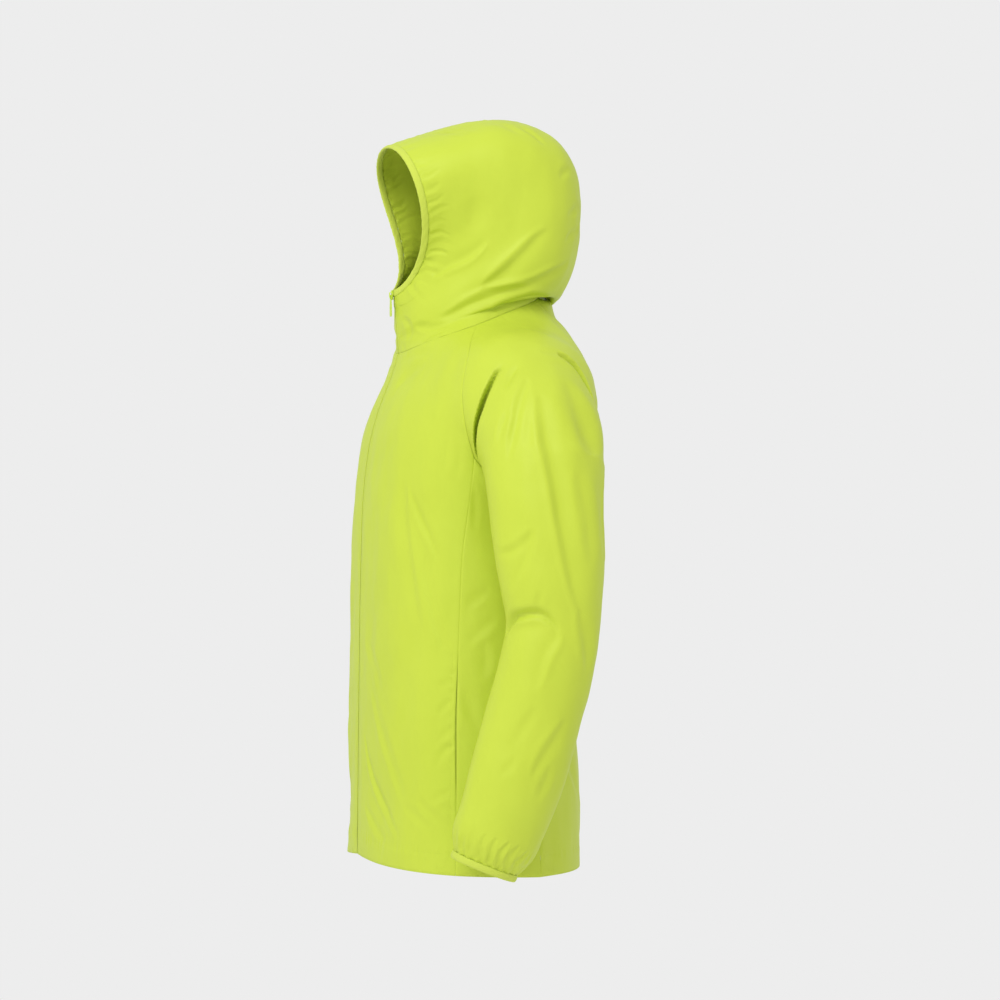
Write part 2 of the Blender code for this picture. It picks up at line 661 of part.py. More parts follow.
def hood_grid():
    """The left half of the hood: rows up from the neck seam, columns from zip to centre seam."""
    share = np.linspace(0, 1, HOOD_COLUMNS + 1)
    reach = way_short_of_rim(share, BINDING_WIDTH + HOOD_GATHER_REACH)
    reach = np.maximum(reach, HOOD_REACH_LIMIT)
    place = np.asarray(HOOD_PLACES)[:, None]
    grid = hood_points(place - (1 - reach) * place**2, share[None])
    grid[:, 0, 0], grid[:, -1, 0] = ZIP_HALF_OPENING, SEAM_INSET
    inset(grid, "top", NECK_INSET)
    return grid


def rim_grid(depth):
    """The hood's gathered edge: rows to the cloth's edge, two columns for each gather."""
    share = np.linspace(0, 1, 2 * HOOD_GATHERS + 1)
    edge = way_short_of_rim(share, BINDING_WIDTH)
    reach = way_short_of_rim(share, BINDING_WIDTH + HOOD_GATHER_REACH)
    reach = np.maximum(reach, HOOD_REACH_LIMIT)
    place = np.array([place for place, _ in HOOD_GATHER_ROWS])[:, None]
    grid = hood_points(edge - place * (edge - reach), share[None])
    grid[:, 0, 0], grid[:, -1, 0] = ZIP_HALF_OPENING, SEAM_INSET
    depths = depth * ramp(share, *HOOD_GATHERS_FROM_ZIP)
    return gathered(grid, -facing(grid, middles=True), HOOD_GATHER_ROWS, depths)


def hoop(columns, share):
    """Points of one hoop of the hood, by the share of the way round from zip to centre seam."""
    up_zip, seam_back, seam_height, half_width, lift, squareness, set_back, egg = columns
    throat = neck_point(-math.pi / 2)
    zip_back = throat[1] + up_zip * (CHIN[0] - throat[1])
    zip_height = throat[2] + up_zip * (CHIN[1] - throat[2])
    turn = math.pi * share
    forward = np.sign(np.cos(turn)) * np.abs(np.cos(turn)) ** (2 / squareness)
    side = np.abs(np.sin(turn)) ** (2 / squareness)
    along = (1 - forward) / 2
    back = zip_back + along * (seam_back - zip_back)
    back = back + set_back * side**1.5 * (1 + SET_BACK_LOW * forward)
    height = zip_height + along * (seam_height - zip_height) + lift * side
    return np.stack([half_width * side * (1 - egg * forward), back, height], axis=-1)


def hood_points(way, share):
    """Points of the hood's left half, by the way from neck to face edge and the share round."""
    points = hoop(smooth_columns(HOOD, way), share)
    at_neck = neck_point(-math.pi / 2 + math.pi * share) - hoop(HOOD[0][1:], share)
    leave = np.clip(1 - way / NECK_FADE, 0, 1) ** 2
    return points + leave[..., None] * at_neck


# ---------------------------------------------------------------- folds and gathers


def folds_at(points):
    """How far the largest folds sink the cloth at each point."""
    mirrored = np.abs(points[..., :1])
    left = np.concatenate([mirrored, points[..., 1:]], axis=-1)
    sunk = np.zeros(points.shape[:-1])
    for half_width, depth, line in FOLDS:
        line = np.asarray(line)
        nearest = np.full(points.shape[:-1], FAR_OFF)
        place = np.zeros(points.shape[:-1])
        for number, (start, end) in enumerate(zip(line[:-1], line[1:])):
            along = end - start
            share = np.clip((left - start) @ along / (along @ along), 0, 1)
            away = np.linalg.norm(left - start - share[..., None] * along, axis=-1)
            place = np.where(away < nearest, (number + share) / (len(line) - 1), place)
            nearest = np.minimum(nearest, away)
        fade = np.sin(math.pi * (FOLD_ENDS + (1 - 2 * FOLD_ENDS) * place))
        sunk += depth * fade * np.exp(-((nearest / half_width) ** 2))
    return sunk


def gathered(grid, normals, rows, depths):
    """A grid with every second column raised and the others sunk, by each row's own share."""
    wave = depths * (-1.0) ** np.arange(grid.shape[1])
    share = np.array([share for _, share in rows])
    return grid + (share[:, None] * wave)[..., None] * normals


def creased(points, walls):
    """Points with the largest folds worked into them; the neck seam stays as it is."""
    directions = walls / np.linalg.norm(walls, axis=-1, keepdims=True)
    sunk = points - folds_at(points)[..., None] * directions
    return np.where(on_neck(points)[..., None], points, sunk)


def on_neck(points):
    """Which points of a grid lie on the neck seam."""
    angles = np.arctan2(points[..., 1] - NECK_CENTRE_BACK, np.abs(points[..., 0]))
    return np.linalg.norm(points - neck_point(angles), axis=-1) < 2 * NECK_INSET


# ---------------------------------------------------------------- walls


def facing(grid, closed=False, middles=False):
    """Unit directions square to a grid's surface.

    A closed grid's last column is its first; with middles, the first and last columns keep to
    planes of equal X.
    """
    down, across = np.gradient(grid, axis=0), np.gradient(grid, axis=1)
    if closed:
        across[:, 0] = across[:, -1] = (grid[:, 1] - grid[:, -2]) / 2
    normals = np.cross(down, across)
    if middles:
        normals[:, 0, 0] = normals[:, -1, 0] = 0
    return normals / np.linalg.norm(normals, axis=-1, keepdims=True)


def mitred(*borders):
    """One set of wall directions for pieces that meet in a seam, long enough for each."""
    unit = sum(borders) / np.linalg.norm(sum(borders), axis=-1, keepdims=True)
    lean = sum((unit * border).sum(-1, keepdims=True) for border in borders) / len(borders)
    return unit / np.maximum(lean, LEAST_LEAN)


def wall_directions(front, side, back, sleeve, hood):
    """Outward directions of the left pieces' walls; pieces that share a seam share them there."""
    fronts, sides, backs = facing(front), facing(side), facing(back)
    sleeves, hoods = facing(sleeve), -facing(hood, middles=True)
    fronts[:, 0, 0] = backs[:, -1, 0] = 0
    walls = [array.copy() for array in (fronts, sides, backs, sleeves, hoods)]
    on_front, on_side_panel, on_back_panel, on_sleeve, on_hood = walls
    fork = RAGLAN_ROWS  # where the raglan, armhole and side seams meet
    arm_row = RAGLAN_ROWS + ARMHOLE_ROWS

    on_front[fork:, -1] = on_side_panel[:, 0] = mitred(fronts[fork:, -1], sides[:, 0])
    on_back_panel[fork:, 0] = on_side_panel[:, -1] = mitred(backs[fork:, 0], sides[:, -1])
    halves = ((0, slice(None, ARMHOLE_ROWS + 1), 1), (-1, slice(ARMHOLE_ROWS, None), -1))
    for column, half, flip in halves:
        shared = mitred(sleeves[fork : arm_row + 1, column], sides[0, half][::flip])
        on_sleeve[fork : arm_row + 1, column] = shared
        on_side_panel[0, half] = shared[::flip]
    on_front[:fork, -1] = on_sleeve[:fork, 0] = mitred(fronts[:fork, -1], sleeves[:fork, 0])
    on_back_panel[:fork, 0] = on_sleeve[:fork, -1] = mitred(backs[:fork, 0], sleeves[:fork, -1])
    under = mitred(sleeves[arm_row:, 0], sleeves[arm_row:, -1])
    on_sleeve[arm_row:, 0] = on_sleeve[arm_row:, -1] = under
    on_front[fork, -1] = on_side_panel[0, 0] = on_sleeve[fork, 0] = mitred(
        fronts[fork, -1], sides[0, 0], sleeves[fork, 0]
    )
    on_back_panel[fork, 0] = on_side_panel[0, -1] = on_sleeve[fork, -1] = mitred(
        backs[fork, 0], sides[0, -1], sleeves[fork, -1]
    )
    on_side_panel[0, ARMHOLE_ROWS] = on_sleeve[arm_row, 0] = on_sleeve[arm_row, -1] = mitred(
        sides[0, ARMHOLE_ROWS], sleeves[arm_row, 0], sleeves[arm_row, -1]
    )

    starts = (-math.pi / 2, NECK_RAGLAN_FRONT, NECK_RAGLAN_BACK, math.pi / 2)
    rows = (on_front[0], on_sleeve[0], on_back_panel[0])
    angles = [np.linspace(a, b, len(row)) for row, a, b in zip(rows, starts[:-1], starts[1:])]
    body_angles, body_rows = np.concatenate(angles), np.concatenate(rows)
    body = [np.interp(NECK_ANGLES, body_angles, values) for values in body_rows.T]
    body = np.stack(body, axis=-1)
    on_hood[0] = mitred(hoods[0], body / np.linalg.norm(body, axis=-1, keepdims=True))
    for row, angle in zip(rows, angles):
        row[:] = round_neck(angle, on_hood[0])
    return walls


class Sheet:
    """A sheet under way: faces through outer points, and the inner point behind each."""

    def __init__(self):
        self.mesh = bmesh.new()
        self.number = self.mesh.verts.layers.int.new("number")
        self.inner = []

    def add(self, points, walls):
        """Adds a grid of points, each with the way out through its wall; returns its rows."""
        rows, columns = points.shape[:2]
        before = len(self.mesh.verts)
        bmesh.ops.create_grid(self.mesh, x_segments=columns - 1, y_segments=rows - 1, size=1.0)
        self.mesh.verts.ensure_lookup_table()
        table = [[None] * columns for _ in range(rows)]
        for vertex in self.mesh.verts[before:]:
            column = round((vertex.co.x + 1) / 2 * (columns - 1))
            row = round((vertex.co.y + 1) / 2 * (rows - 1))
            vertex.co = points[row, column]
            vertex[self.number] = len(self.inner)
            self.inner.append(points[row, column] - walls[row, column])
            table[row][column] = vertex
        return table

    def bridge(self, first, second):
        """Joins two rows of vertices of unlike number."""
        rows = {vertex for row in (first, second) for vertex in row if vertex.is_valid}
        borders = [edge for edge in self.mesh.edges if edge.is_boundary]
        edges = [edge for edge in borders if rows.issuperset(edge.verts)]
        bmesh.ops.bridge_loops(self.mesh, edges=edges)

    def close(self, first, last):
        """Welds two columns of vertices that lie in the same places."""
        targets = {b: a for a, b in zip(first, last)}
        bmesh.ops.weld_verts(self.mesh, targetmap=targets)

    def piece(self, name):
        """The finished piece: the sheet, its inner side and the cut edges between them."""
        kept = set(self.mesh.verts)
        bmesh.ops.extrude_face_region(
            self.mesh, geom=list(self.mesh.faces), use_keep_orig=True
        )
        for vertex in self.mesh.verts:
            if vertex not in kept:
                vertex.co = self.inner[vertex[self.number]]
        for face in [face for face in self.mesh.faces if len(kept.intersection(face.verts)) == 2]:
            low = min(kept.intersection(face.verts), key=lambda vertex: vertex.co.z)
            across = face.verts[(list(face.verts).index(low) + 2) % 4]
            bmesh.utils.face_split(face, low, across)  # the same way in both pieces of a seam
        bmesh.ops.recalc_face_normals(self.mesh, faces=self.mesh.faces)
        data = bpy.data.meshes.new(name)
        self.mesh.to_mesh(data)
        self.mesh.free()
        return placed(name, data)


def placed(name, data, colour=LIME, roughness=0.55, metallic=0.0):
    """A mesh as a named part with its own plain material."""
    piece = bpy.data.objects.new(name, data)
    parts.objects.link(piece)
    material = bpy.data.materials.new(name)
    material.use_nodes = True
    shader = material.node_tree.nodes["Principled BSDF"]
    shader.inputs["Base Color"].default_value = (*colour, 1.0)
    shader.inputs["Roughness"].default_value = roughness
    shader.inputs["Metallic"].default_value = metallic
    data.materials.append(material)
    data.shade_smooth()
    data.set_sharp_from_angle(angle=math.radians(40))
    return piece


def both_sides(*grids):
    """The left side's grids, and the right side's, mirrored."""
    yield "left", grids
    yield "right", [grid[:, ::-1] * (-1, 1, 1) for grid in grids]


def whole(half):
    """A whole grid from its left half, mirrored over the middle."""
    return np.concatenate([half, half[:, -2::-1] * (-1, 1, 1)], axis=1)


def panel(name, points, walls):
    """A cloth piece that is one plain sheet."""
    sheet = Sheet()
    sheet.add(points, walls)
    return sheet.piece(name)


def loop(name, points):
    """A piece from a grid that closes on itself both ways, or has flat ends."""
    mesh = bmesh.new()
    rows = [[mesh.verts.new(point) for point in row] for row in points]
    closed = np.allclose(points[0], points[-1])
    if closed:
        rows[-1] = rows[0]
    for upper, lower in zip(rows[:-1], rows[1:]):
        for a, b, c, d in zip(upper, lower, lower[1:] + lower[:1], upper[1:] + upper[:1]):
            mesh.faces.new((a, b, c, d))
    if closed:
        bmesh.ops.delete(mesh, geom=[v for v in mesh.verts if not v.link_faces], context="VERTS")
    else:
        mesh.faces.new(rows[0])
        mesh.faces.new(rows[-1])
    bmesh.ops.recalc_face_normals(mesh, faces=mesh.faces)
    data = bpy.data.meshes.new(name)
    mesh.to_mesh(data)
    mesh.free()
    return placed(name, data, LIME_DARK)


def band(centres, along, across):
    """A rounded flat section swept along centres: its width goes along, its depth across."""
    rows = [
        centres + BINDING_WIDTH / 2 * a * along + BINDING_THICKNESS / 2 * b * across
        for a, b in BINDING_SECTION
    ]
    return np.stack(rows, axis=1)


def cuff_binding():
    """The left cuff's elastic binding, a ring beyond the cloth's edge."""
    rings = cuff_grid(0.0)
    outward_there = facing(rings, closed=True)[-1]
    centre = rings[-1, :-1].mean(axis=0)
    along = centre - rings[-2, :-1].mean(axis=0)
    along /= np.linalg.norm(along)
    across = outward_there - (outward_there @ along)[:, None] * along
    across /= np.linalg.norm(across, axis=-1, keepdims=True)
    centres = rings[-1] - CLOTH / 2 * across + (BINDING_GAP + BINDING_WIDTH / 2) * along
    return band(centres, along, across)


def hood_binding():
    """The elastic binding round the face opening, from zip to zip over the top."""
    rim = rim_grid(0.0)
    across = -facing(rim, middles=True)[-1]
    share = np.linspace(0, 1, rim.shape[1])
    along = hood_points(1.0 + 0 * share, share) - rim[-1]
    along[[0, -1], 0] = 0
    along /= np.linalg.norm(along, axis=-1, keepdims=True)
    centres = rim[-1] - CLOTH / 2 * across + (BINDING_GAP + BINDING_WIDTH / 2) * along
    centres[-1, 0] = 0
    left = band(centres, along, across)
    return np.concatenate([left, left[-2::-1] * (-1, 1, 1)])


def up_the_zip(front, front_wall, hood, hood_wall, rim, rim_wall, out):
    """Points and wall directions at a distance from the middle, from hem to binding."""
    points, walls = [], []
    for grid, wall in ((front[:0:-1], front_wall[:0:-1]), (hood, hood_wall), (rim, rim_wall)):
        for row, row_wall in zip(grid, wall):
            points.append([np.interp(out, row[:4, 0], row[:4, axis]) for axis in range(3)])
            walls.append([np.interp(out, row[:4, 0], row_wall[:4, axis]) for axis in range(3)])
    points, walls = np.array(points), np.array(walls)
    points[:, 0] = out
    return points, walls


def behind(points, walls):
    """Points a small gap behind the walls."""
    return points - walls * (1 + BEHIND_WALL / CLOTH)


def block(size, centre):
    """A block: across, out of the collar and back, up."""
    mesh = bmesh.new()
    bmesh.ops.create_cube(mesh, size=1.0)
    bmesh.ops.scale(mesh, vec=size, verts=mesh.verts)
    bmesh.ops.translate(mesh, vec=centre, verts=mesh.verts)
    return mesh


def rod(radius, length):
    """A round rod lying across."""
    mesh = bmesh.new()
    bmesh.ops.create_cone(
        mesh, cap_ends=True, segments=12, radius1=radius, radius2=radius, depth=length
    )
    turn = Matrix.Rotation(math.pi / 2, 3, "Y")
    bmesh.ops.rotate(mesh, verts=mesh.verts, matrix=turn)
    return mesh


def fused(name, frame, shapes, bevel):
    """One hard piece from overlapping shapes in a frame, each joined or cut away in turn."""
    piece = None
    for mesh, operation in shapes:
        bmesh.ops.transform(mesh, matrix=frame, verts=mesh.verts)
        data = bpy.data.meshes.new(name)
        mesh.to_mesh(data)
        mesh.free()
        if piece is None:
            piece = placed(name, data, LIME_DARK, roughness=0.35)
            continue
        tool = bpy.data.objects.new("cutter", data)
        tool.hide_render = True
        cutters.objects.link(tool)
        fit = piece.modifiers.new("fit", "BOOLEAN")
        fit.object = tool
        fit.operation = operation
        fit.solver = "EXACT"
    soften = piece.modifiers.new("soften", "BEVEL")
    soften.width = bevel
    soften.segments = 1
    soften.limit_method = "ANGLE"


# ---------------------------------------------------------------- the jacket

for old in list(bpy.data.objects):
    bpy.data.objects.remove(old, do_unlink=True)
parts = bpy.data.collections.new("windbreaker_jacket")
cutters = bpy.data.collections.new("cutters")
for collection in (parts, cutters):
    bpy.context.scene.collection.children.link(collection)

lines = seam_lines()
grids = [front_grid(lines), side_grid(lines), back_grid(lines), sleeve_grid(lines), hood_grid()]
grids = [creased(grid, walls) for grid, walls in zip(grids, wall_directions(*grids))]
front, under_arm, back, sleeve, hood = grids
front_wall, under_arm_wall, back_wall, sleeve_wall, hood_wall = (
    CLOTH * walls for walls in wall_directions(*grids)
)
cuff = cuff_grid(CUFF_GATHER_DEPTH)
cuff_wall = CLOTH * facing(cuff, closed=True)
rim = rim_grid(HOOD_GATHER_DEPTH)
rim_wall = -CLOTH * facing(rim, middles=True)

# Body panels
panel("back", whole(back), whole(back_wall))
for side, (points, walls) in both_sides(front, front_wall):
    panel(f"front_{side}", points, walls)
for side, (points, walls) in both_sides(under_arm, under_arm_wall):
    panel(f"side_{side}", points, walls)

# Sleeves, closed by the underarm seam, with their gathered ends
closed_from = RAGLAN_ROWS + ARMHOLE_ROWS
sleeve_grids = (sleeve, sleeve_wall, cuff, cuff_wall)
for side, (points, walls, end_points, end_walls) in both_sides(*sleeve_grids):
    sheet = Sheet()
    rows, ends = sheet.add(points, walls), sheet.add(end_points, end_walls)
    sheet.close([row[0] for row in rows[closed_from:]], [row[-1] for row in rows[closed_from:]])
    sheet.close([row[0] for row in ends], [row[-1] for row in ends])
    sheet.bridge(rows[-1], ends[0])
    sheet.piece(f"sleeve_{side}")

# Hood halves with their gathered edges
hood_grids = (hood, hood_wall, rim, rim_wall)
for side, (points, walls, end_points, end_walls) in both_sides(*hood_grids):
    sheet = Sheet()
    rows, ends = sheet.add(points, walls), sheet.add(end_points, end_walls)
    sheet.bridge(rows[-1], ends[0])
    sheet.piece(f"hood_{side}")

# Elastic bindings
for side, (ring,) in both_sides(cuff_binding()):
    loop(f"cuff_{side}", ring)
loop("hood_binding", hood_binding())

# Pocket bags behind the fronts, reaching to the side seams
pocket_front = slice(RAGLAN_ROWS + POCKET_ROWS.start, RAGLAN_ROWS + POCKET_ROWS.stop)
bag = front[pocket_front, -POCKET_COLUMNS - 1 :].copy()
bag_wall = front_wall[pocket_front, -POCKET_COLUMNS - 1 :].copy()
seam_there = under_arm[POCKET_ROWS, 0]
inwards = bag[:, -2] - seam_there
inwards /= np.linalg.norm(inwards, axis=-1, keepdims=True)
bag[:, -1] = seam_there + POCKET_FROM_SEAM * inwards
for side, (points, walls) in both_sides(behind(bag, bag_wall), bag_wall):
    panel(f"pocket_{side}", points, walls)

# Zip tapes and closed coil
zip_walls = (front, front_wall, hood, hood_wall, rim, rim_wall)
columns = [up_the_zip(*zip_walls, out) for out in TAPE_COLUMNS]
tape = np.stack([points for points, _ in columns], axis=1)[::-1]
tape_wall = np.stack([walls for _, walls in columns], axis=1)[::-1]
tape_grids = (behind(tape, tape_wall), TAPE_THICKNESS / CLOTH * tape_wall)
for side, (points, walls) in both_sides(*tape_grids):
    panel(f"zip_tape_{side}", points, walls)
edge, edge_wall = up_the_zip(*zip_walls, ZIP_HALF_OPENING)
coil_top = SLIDER_HEIGHT - SLIDER_PLATE[2] / 2 - 2 * BEHIND_WALL
heights = np.append(edge[edge[:, 2] < coil_top - BINDING_GAP, 2], coil_top)[::-1]
coil, coil_wall = (
    np.stack([np.interp(heights, edge[:, 2], values[:, axis]) for axis in range(3)], axis=-1)
    for values in (edge, edge_wall)
)
coil = np.stack([coil, coil * (-1, 1, 1)], axis=1)[:, ::-1]
coil_wall = np.stack([coil_wall, coil_wall], axis=1)
coil = behind(coil, coil_wall)
coil[..., 0] = COIL_HALF_WIDTH * np.array([-1, 1])
panel("zip_coil", coil, COIL_THICKNESS / CLOTH * coil_wall)

# Slider, leaning with the collar: plates before and behind, the neck between, and the bail
throat = neck_point(-math.pi / 2)
share = (SLIDER_HEIGHT - throat[2]) / (CHIN[1] - throat[2])
slider_back = throat[1] + share * (CHIN[0] - throat[1])
lean = math.atan2(throat[1] - CHIN[0], CHIN[1] - throat[2])
frame = Matrix.Translation((0, slider_back, SLIDER_HEIGHT)) @ Matrix.Rotation(lean, 4, "X")
across, thick, tall = SLIDER_PLATE
bail_out = SLIDER_FRONT + thick + BAIL_GAP[0] + BAIL_BAR
bail_tall = BAIL_GAP[1] + 2 * BAIL_BAR
neck_middle = (SLIDER_BACK - SLIDER_FRONT) / 2
rod_out = SLIDER_FRONT + thick + BAIL_GAP[0] / 2
gap_size = (2 * BAIL_WIDTH, BAIL_GAP[0], BAIL_GAP[1])
bail_size = (BAIL_WIDTH, bail_out - SLIDER_FRONT - thick / 2, bail_tall)
bail_middle = -(bail_out + SLIDER_FRONT + thick / 2) / 2
slider_shapes = (
    (block(bail_size, (0, bail_middle, 0)), "UNION"),
    (block(gap_size, (0, -rod_out, 0)), "DIFFERENCE"),
    (block(SLIDER_PLATE, (0, -SLIDER_FRONT - thick / 2, 0)), "UNION"),
    (block(SLIDER_NECK, (0, neck_middle, SLIDER_NECK_UP)), "UNION"),
    (block(SLIDER_PLATE, (0, SLIDER_BACK + thick / 2, 0)), "UNION"),
)
fused("zip_slider", frame, slider_shapes, SLIDER_BEVEL)

# Pull tab: a fork hung by its rod in the bail, plumb whatever the collar's lean
pull_frame = Matrix.Translation(frame @ Vector((0, -rod_out, 0)))
pull_across, pull_thick, pull_long = PULL_PLATE
slot_wide, slot_long = PULL_WINDOW
pull_shapes = (
    (block(PULL_PLATE, (0, 0, PULL_ABOVE - pull_long / 2)), "UNION"),
    (block((slot_wide, 2 * pull_thick, 2 * slot_long), (0, 0, 0)), "DIFFERENCE"),
    (rod(PULL_ROD_RADIUS, pull_across - PULL_ROD_RADIUS), "UNION"),
)
fused("zip_pull", pull_frame, pull_shapes, PULL_BEVEL)
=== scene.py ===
"""Looks of a hooded windbreaker jacket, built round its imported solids.

The jacket hangs filled out as it is worn: thin lime nylon panels sewn edge to edge, with elastic
bindings at the hood and the cuffs, and a coil zip with a hanging pull tab.
"""

from __future__ import annotations

import json
import logging
import math
from collections.abc import Callable, Iterable, Iterator, Sequence
from contextlib import contextmanager
from dataclasses import dataclass, field
from enum import Enum

import bmesh
import bpy
import numpy as np
from mathutils import Matrix, Vector, noise
from mathutils.bvhtree import BVHTree
from mathutils.kdtree import KDTree

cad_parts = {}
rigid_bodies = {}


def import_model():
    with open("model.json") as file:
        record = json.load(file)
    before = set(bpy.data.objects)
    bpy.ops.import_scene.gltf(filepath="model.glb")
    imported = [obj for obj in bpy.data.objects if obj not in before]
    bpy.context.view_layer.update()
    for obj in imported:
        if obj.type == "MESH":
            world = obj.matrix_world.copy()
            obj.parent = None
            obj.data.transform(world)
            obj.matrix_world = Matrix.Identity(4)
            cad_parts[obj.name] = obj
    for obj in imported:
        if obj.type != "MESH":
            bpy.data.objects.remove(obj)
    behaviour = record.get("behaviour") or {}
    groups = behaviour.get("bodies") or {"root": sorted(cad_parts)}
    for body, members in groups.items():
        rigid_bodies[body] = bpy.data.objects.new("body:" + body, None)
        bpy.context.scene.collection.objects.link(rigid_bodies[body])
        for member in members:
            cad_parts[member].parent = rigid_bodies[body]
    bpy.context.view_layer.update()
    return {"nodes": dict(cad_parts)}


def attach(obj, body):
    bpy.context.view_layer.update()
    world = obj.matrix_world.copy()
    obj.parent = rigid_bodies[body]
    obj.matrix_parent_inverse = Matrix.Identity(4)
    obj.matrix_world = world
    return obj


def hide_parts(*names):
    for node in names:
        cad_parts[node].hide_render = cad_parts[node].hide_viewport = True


LOG = logging.getLogger("windbreaker")
MM = 0.001
WELD = 1e-6  # corners nearer than this, in metres, are one
WAVE_RADIANS = 20  # of a wave texture, to each unit
FACING = 0.9  # a face looks along an axis when its normal reaches this far along it
SHADER = "Principled BSDF"
Point = tuple[float, float, float]


class Side(Enum):
    """The wearer's left or right, as the sign of X."""

    LEFT = 1
    RIGHT = -1

    @property
    def word(self) -> str:
        """The side as CAD nodes name it."""
        return self.name.lower()


# ---------------------------------------------------------------- colour and nodes


def linear(hex_colour: str) -> tuple[float, float, float, float]:
    """Turns an sRGB hex colour to the linear one that a shader takes.

    Args:
        hex_colour: six hex digits.

    Returns:
        Linear red, green, blue and an alpha of 1.
    """
    parts = [int(hex_colour[i : i + 2], 16) / 255 for i in (0, 2, 4)]
    r, g, b = (c / 12.92 if c <= 0.04045 else ((c + 0.055) / 1.055) ** 2.4 for c in parts)
    return (r, g, b, 1.0)


def add_node(
    tree: bpy.types.NodeTree,
    kind: str,
    inputs: dict[str, object] | None = None,
    **settings: object,
) -> bpy.types.Node:
    """Adds a shader node with its settings, values and links.

    Args:
        tree: the material's node tree.
        kind: the node's type name.
        inputs: values for its inputs, or output sockets to link to them.
        settings: attributes of the node itself.

    Returns:
        The new node.
    """
    node = tree.nodes.new(kind)
    for name, value in settings.items():
        setattr(node, name, value)
    for name, value in (inputs or {}).items():
        socket = node.inputs[name]
        if isinstance(value, bpy.types.NodeSocket):
            tree.links.new(value, socket)
        else:
            socket.default_value = value
    return node


def new_material(name: str, values: dict[str, object]) -> bpy.types.Material:
    """Makes a material.

    Args:
        name: the material's name.
        values: what its surface shader's inputs are set to.

    Returns:
        The new material.
    """
    made = bpy.data.materials.new(name)
    made.use_nodes = True
    shader = made.node_tree.nodes[SHADER]
    for socket, value in values.items():
        shader.inputs[socket].default_value = value
    return made


def speckle(
    tree: bpy.types.NodeTree, scale: float, detail: float, roughness: float = 0.5
) -> bpy.types.NodeSocket:
    """Adds soft noise over the object's own space, and returns its grey."""
    place = add_node(tree, "ShaderNodeTexCoord").outputs["Object"]
    inputs = {"Vector": place, "Scale": scale, "Detail": detail, "Roughness": roughness}
    return add_node(tree, "ShaderNodeTexNoise", inputs).outputs["Fac"]


def bands(
    tree: bpy.types.NodeTree, width: float, axis: str = "X", distortion: float = 0.0
) -> bpy.types.NodeSocket:
    """Adds bands of a width across the cloth's own map, and returns their grey."""
    place = add_node(tree, "ShaderNodeTexCoord").outputs["UV"]
    scale = math.tau / width / WAVE_RADIANS
    inputs = {"Vector": place, "Scale": scale, "Distortion": distortion}
    return add_node(tree, "ShaderNodeTexWave", inputs, bands_direction=axis).outputs["Fac"]


def bump(
    tree: bpy.types.NodeTree,
    height: bpy.types.NodeSocket,
    distance: float,
    strength: float,
    **under: bpy.types.NodeSocket,
) -> bpy.types.NodeSocket:
    """Adds a bump of a height in metres, over another one if given, and returns its normal."""
    inputs = {"Height": height, "Distance": distance, "Strength": strength, **under}
    return add_node(tree, "ShaderNodeBump", inputs).outputs["Normal"]


@dataclass(frozen=True)
class Finish:
    """A finish: what the real material is, and its shader values."""

    name: str
    colour: str
    roughness: float
    ior: float = 1.5
    sheen: float = 0.0
    shine: float = 0.5

    def material(self) -> bpy.types.Material:
        """Returns the finish's material, made on first use."""
        found = bpy.data.materials.get(self.name)
        if found is not None:
            return found
        made = new_material(
            self.name,
            {
                "Base Color": linear(self.colour),
                "Roughness": self.roughness,
                "IOR": self.ior,
                "Sheen Weight": self.sheen,
                "Specular IOR Level": self.shine,
            },
        )
        self.detail(made.node_tree, made.node_tree.nodes[SHADER])
        return made

    def detail(self, tree: bpy.types.NodeTree, shader: bpy.types.Node) -> None:
        """Adds the finish's own pattern. A plain finish has none.

        Args:
            tree: the material's node tree.
            shader: its surface shader.
        """


@dataclass(frozen=True)
class NylonTaffeta(Finish):
    """Plain-woven, calendered nylon: smooth to the eye, softly crinkled, with a faint gloss."""

    deep: str = "B7C926"
    thread: float = 0.5 * MM  # drawn coarser than the real 0.12 mm, which is too fine to show

    def detail(self, tree: bpy.types.NodeTree, shader: bpy.types.Node) -> None:
        """Mottles the dye a little, and bumps the weave and the crinkle."""
        mottle = speckle(tree, scale=9.0, detail=3.0, roughness=0.55)
        dye = add_node(
            tree,
            "ShaderNodeMix",
            {0: mottle, 6: linear(self.colour), 7: linear(self.deep)},
            data_type="RGBA",
        )
        tree.links.new(dye.outputs[2], shader.inputs["Base Color"])
        warp, weft = (bands(tree, self.thread, axis) for axis in "XY")
        weave = add_node(tree, "ShaderNodeMath", {0: warp, 1: weft}, operation="MULTIPLY")
        fine = bump(tree, weave.outputs[0], distance=0.03 * MM, strength=0.4)
        crinkle = speckle(tree, scale=42.0, detail=4.0)
        coarse = bump(tree, crinkle, distance=1.6 * MM, strength=0.35, Normal=fine)
        tree.links.new(coarse, shader.inputs["Normal"])


@dataclass(frozen=True)
class RibbedTape(Finish):
    """Narrow tape, knitted from elastic or woven from polyester: matt, with fine cross ribs."""

    rib: float = 1.1 * MM

    def detail(self, tree: bpy.types.NodeTree, shader: bpy.types.Node) -> None:
        """Bumps the ribs."""
        ribs = bands(tree, self.rib, distortion=0.6)
        normal = bump(tree, ribs, distance=0.15 * MM, strength=0.6)
        tree.links.new(normal, shader.inputs["Normal"])


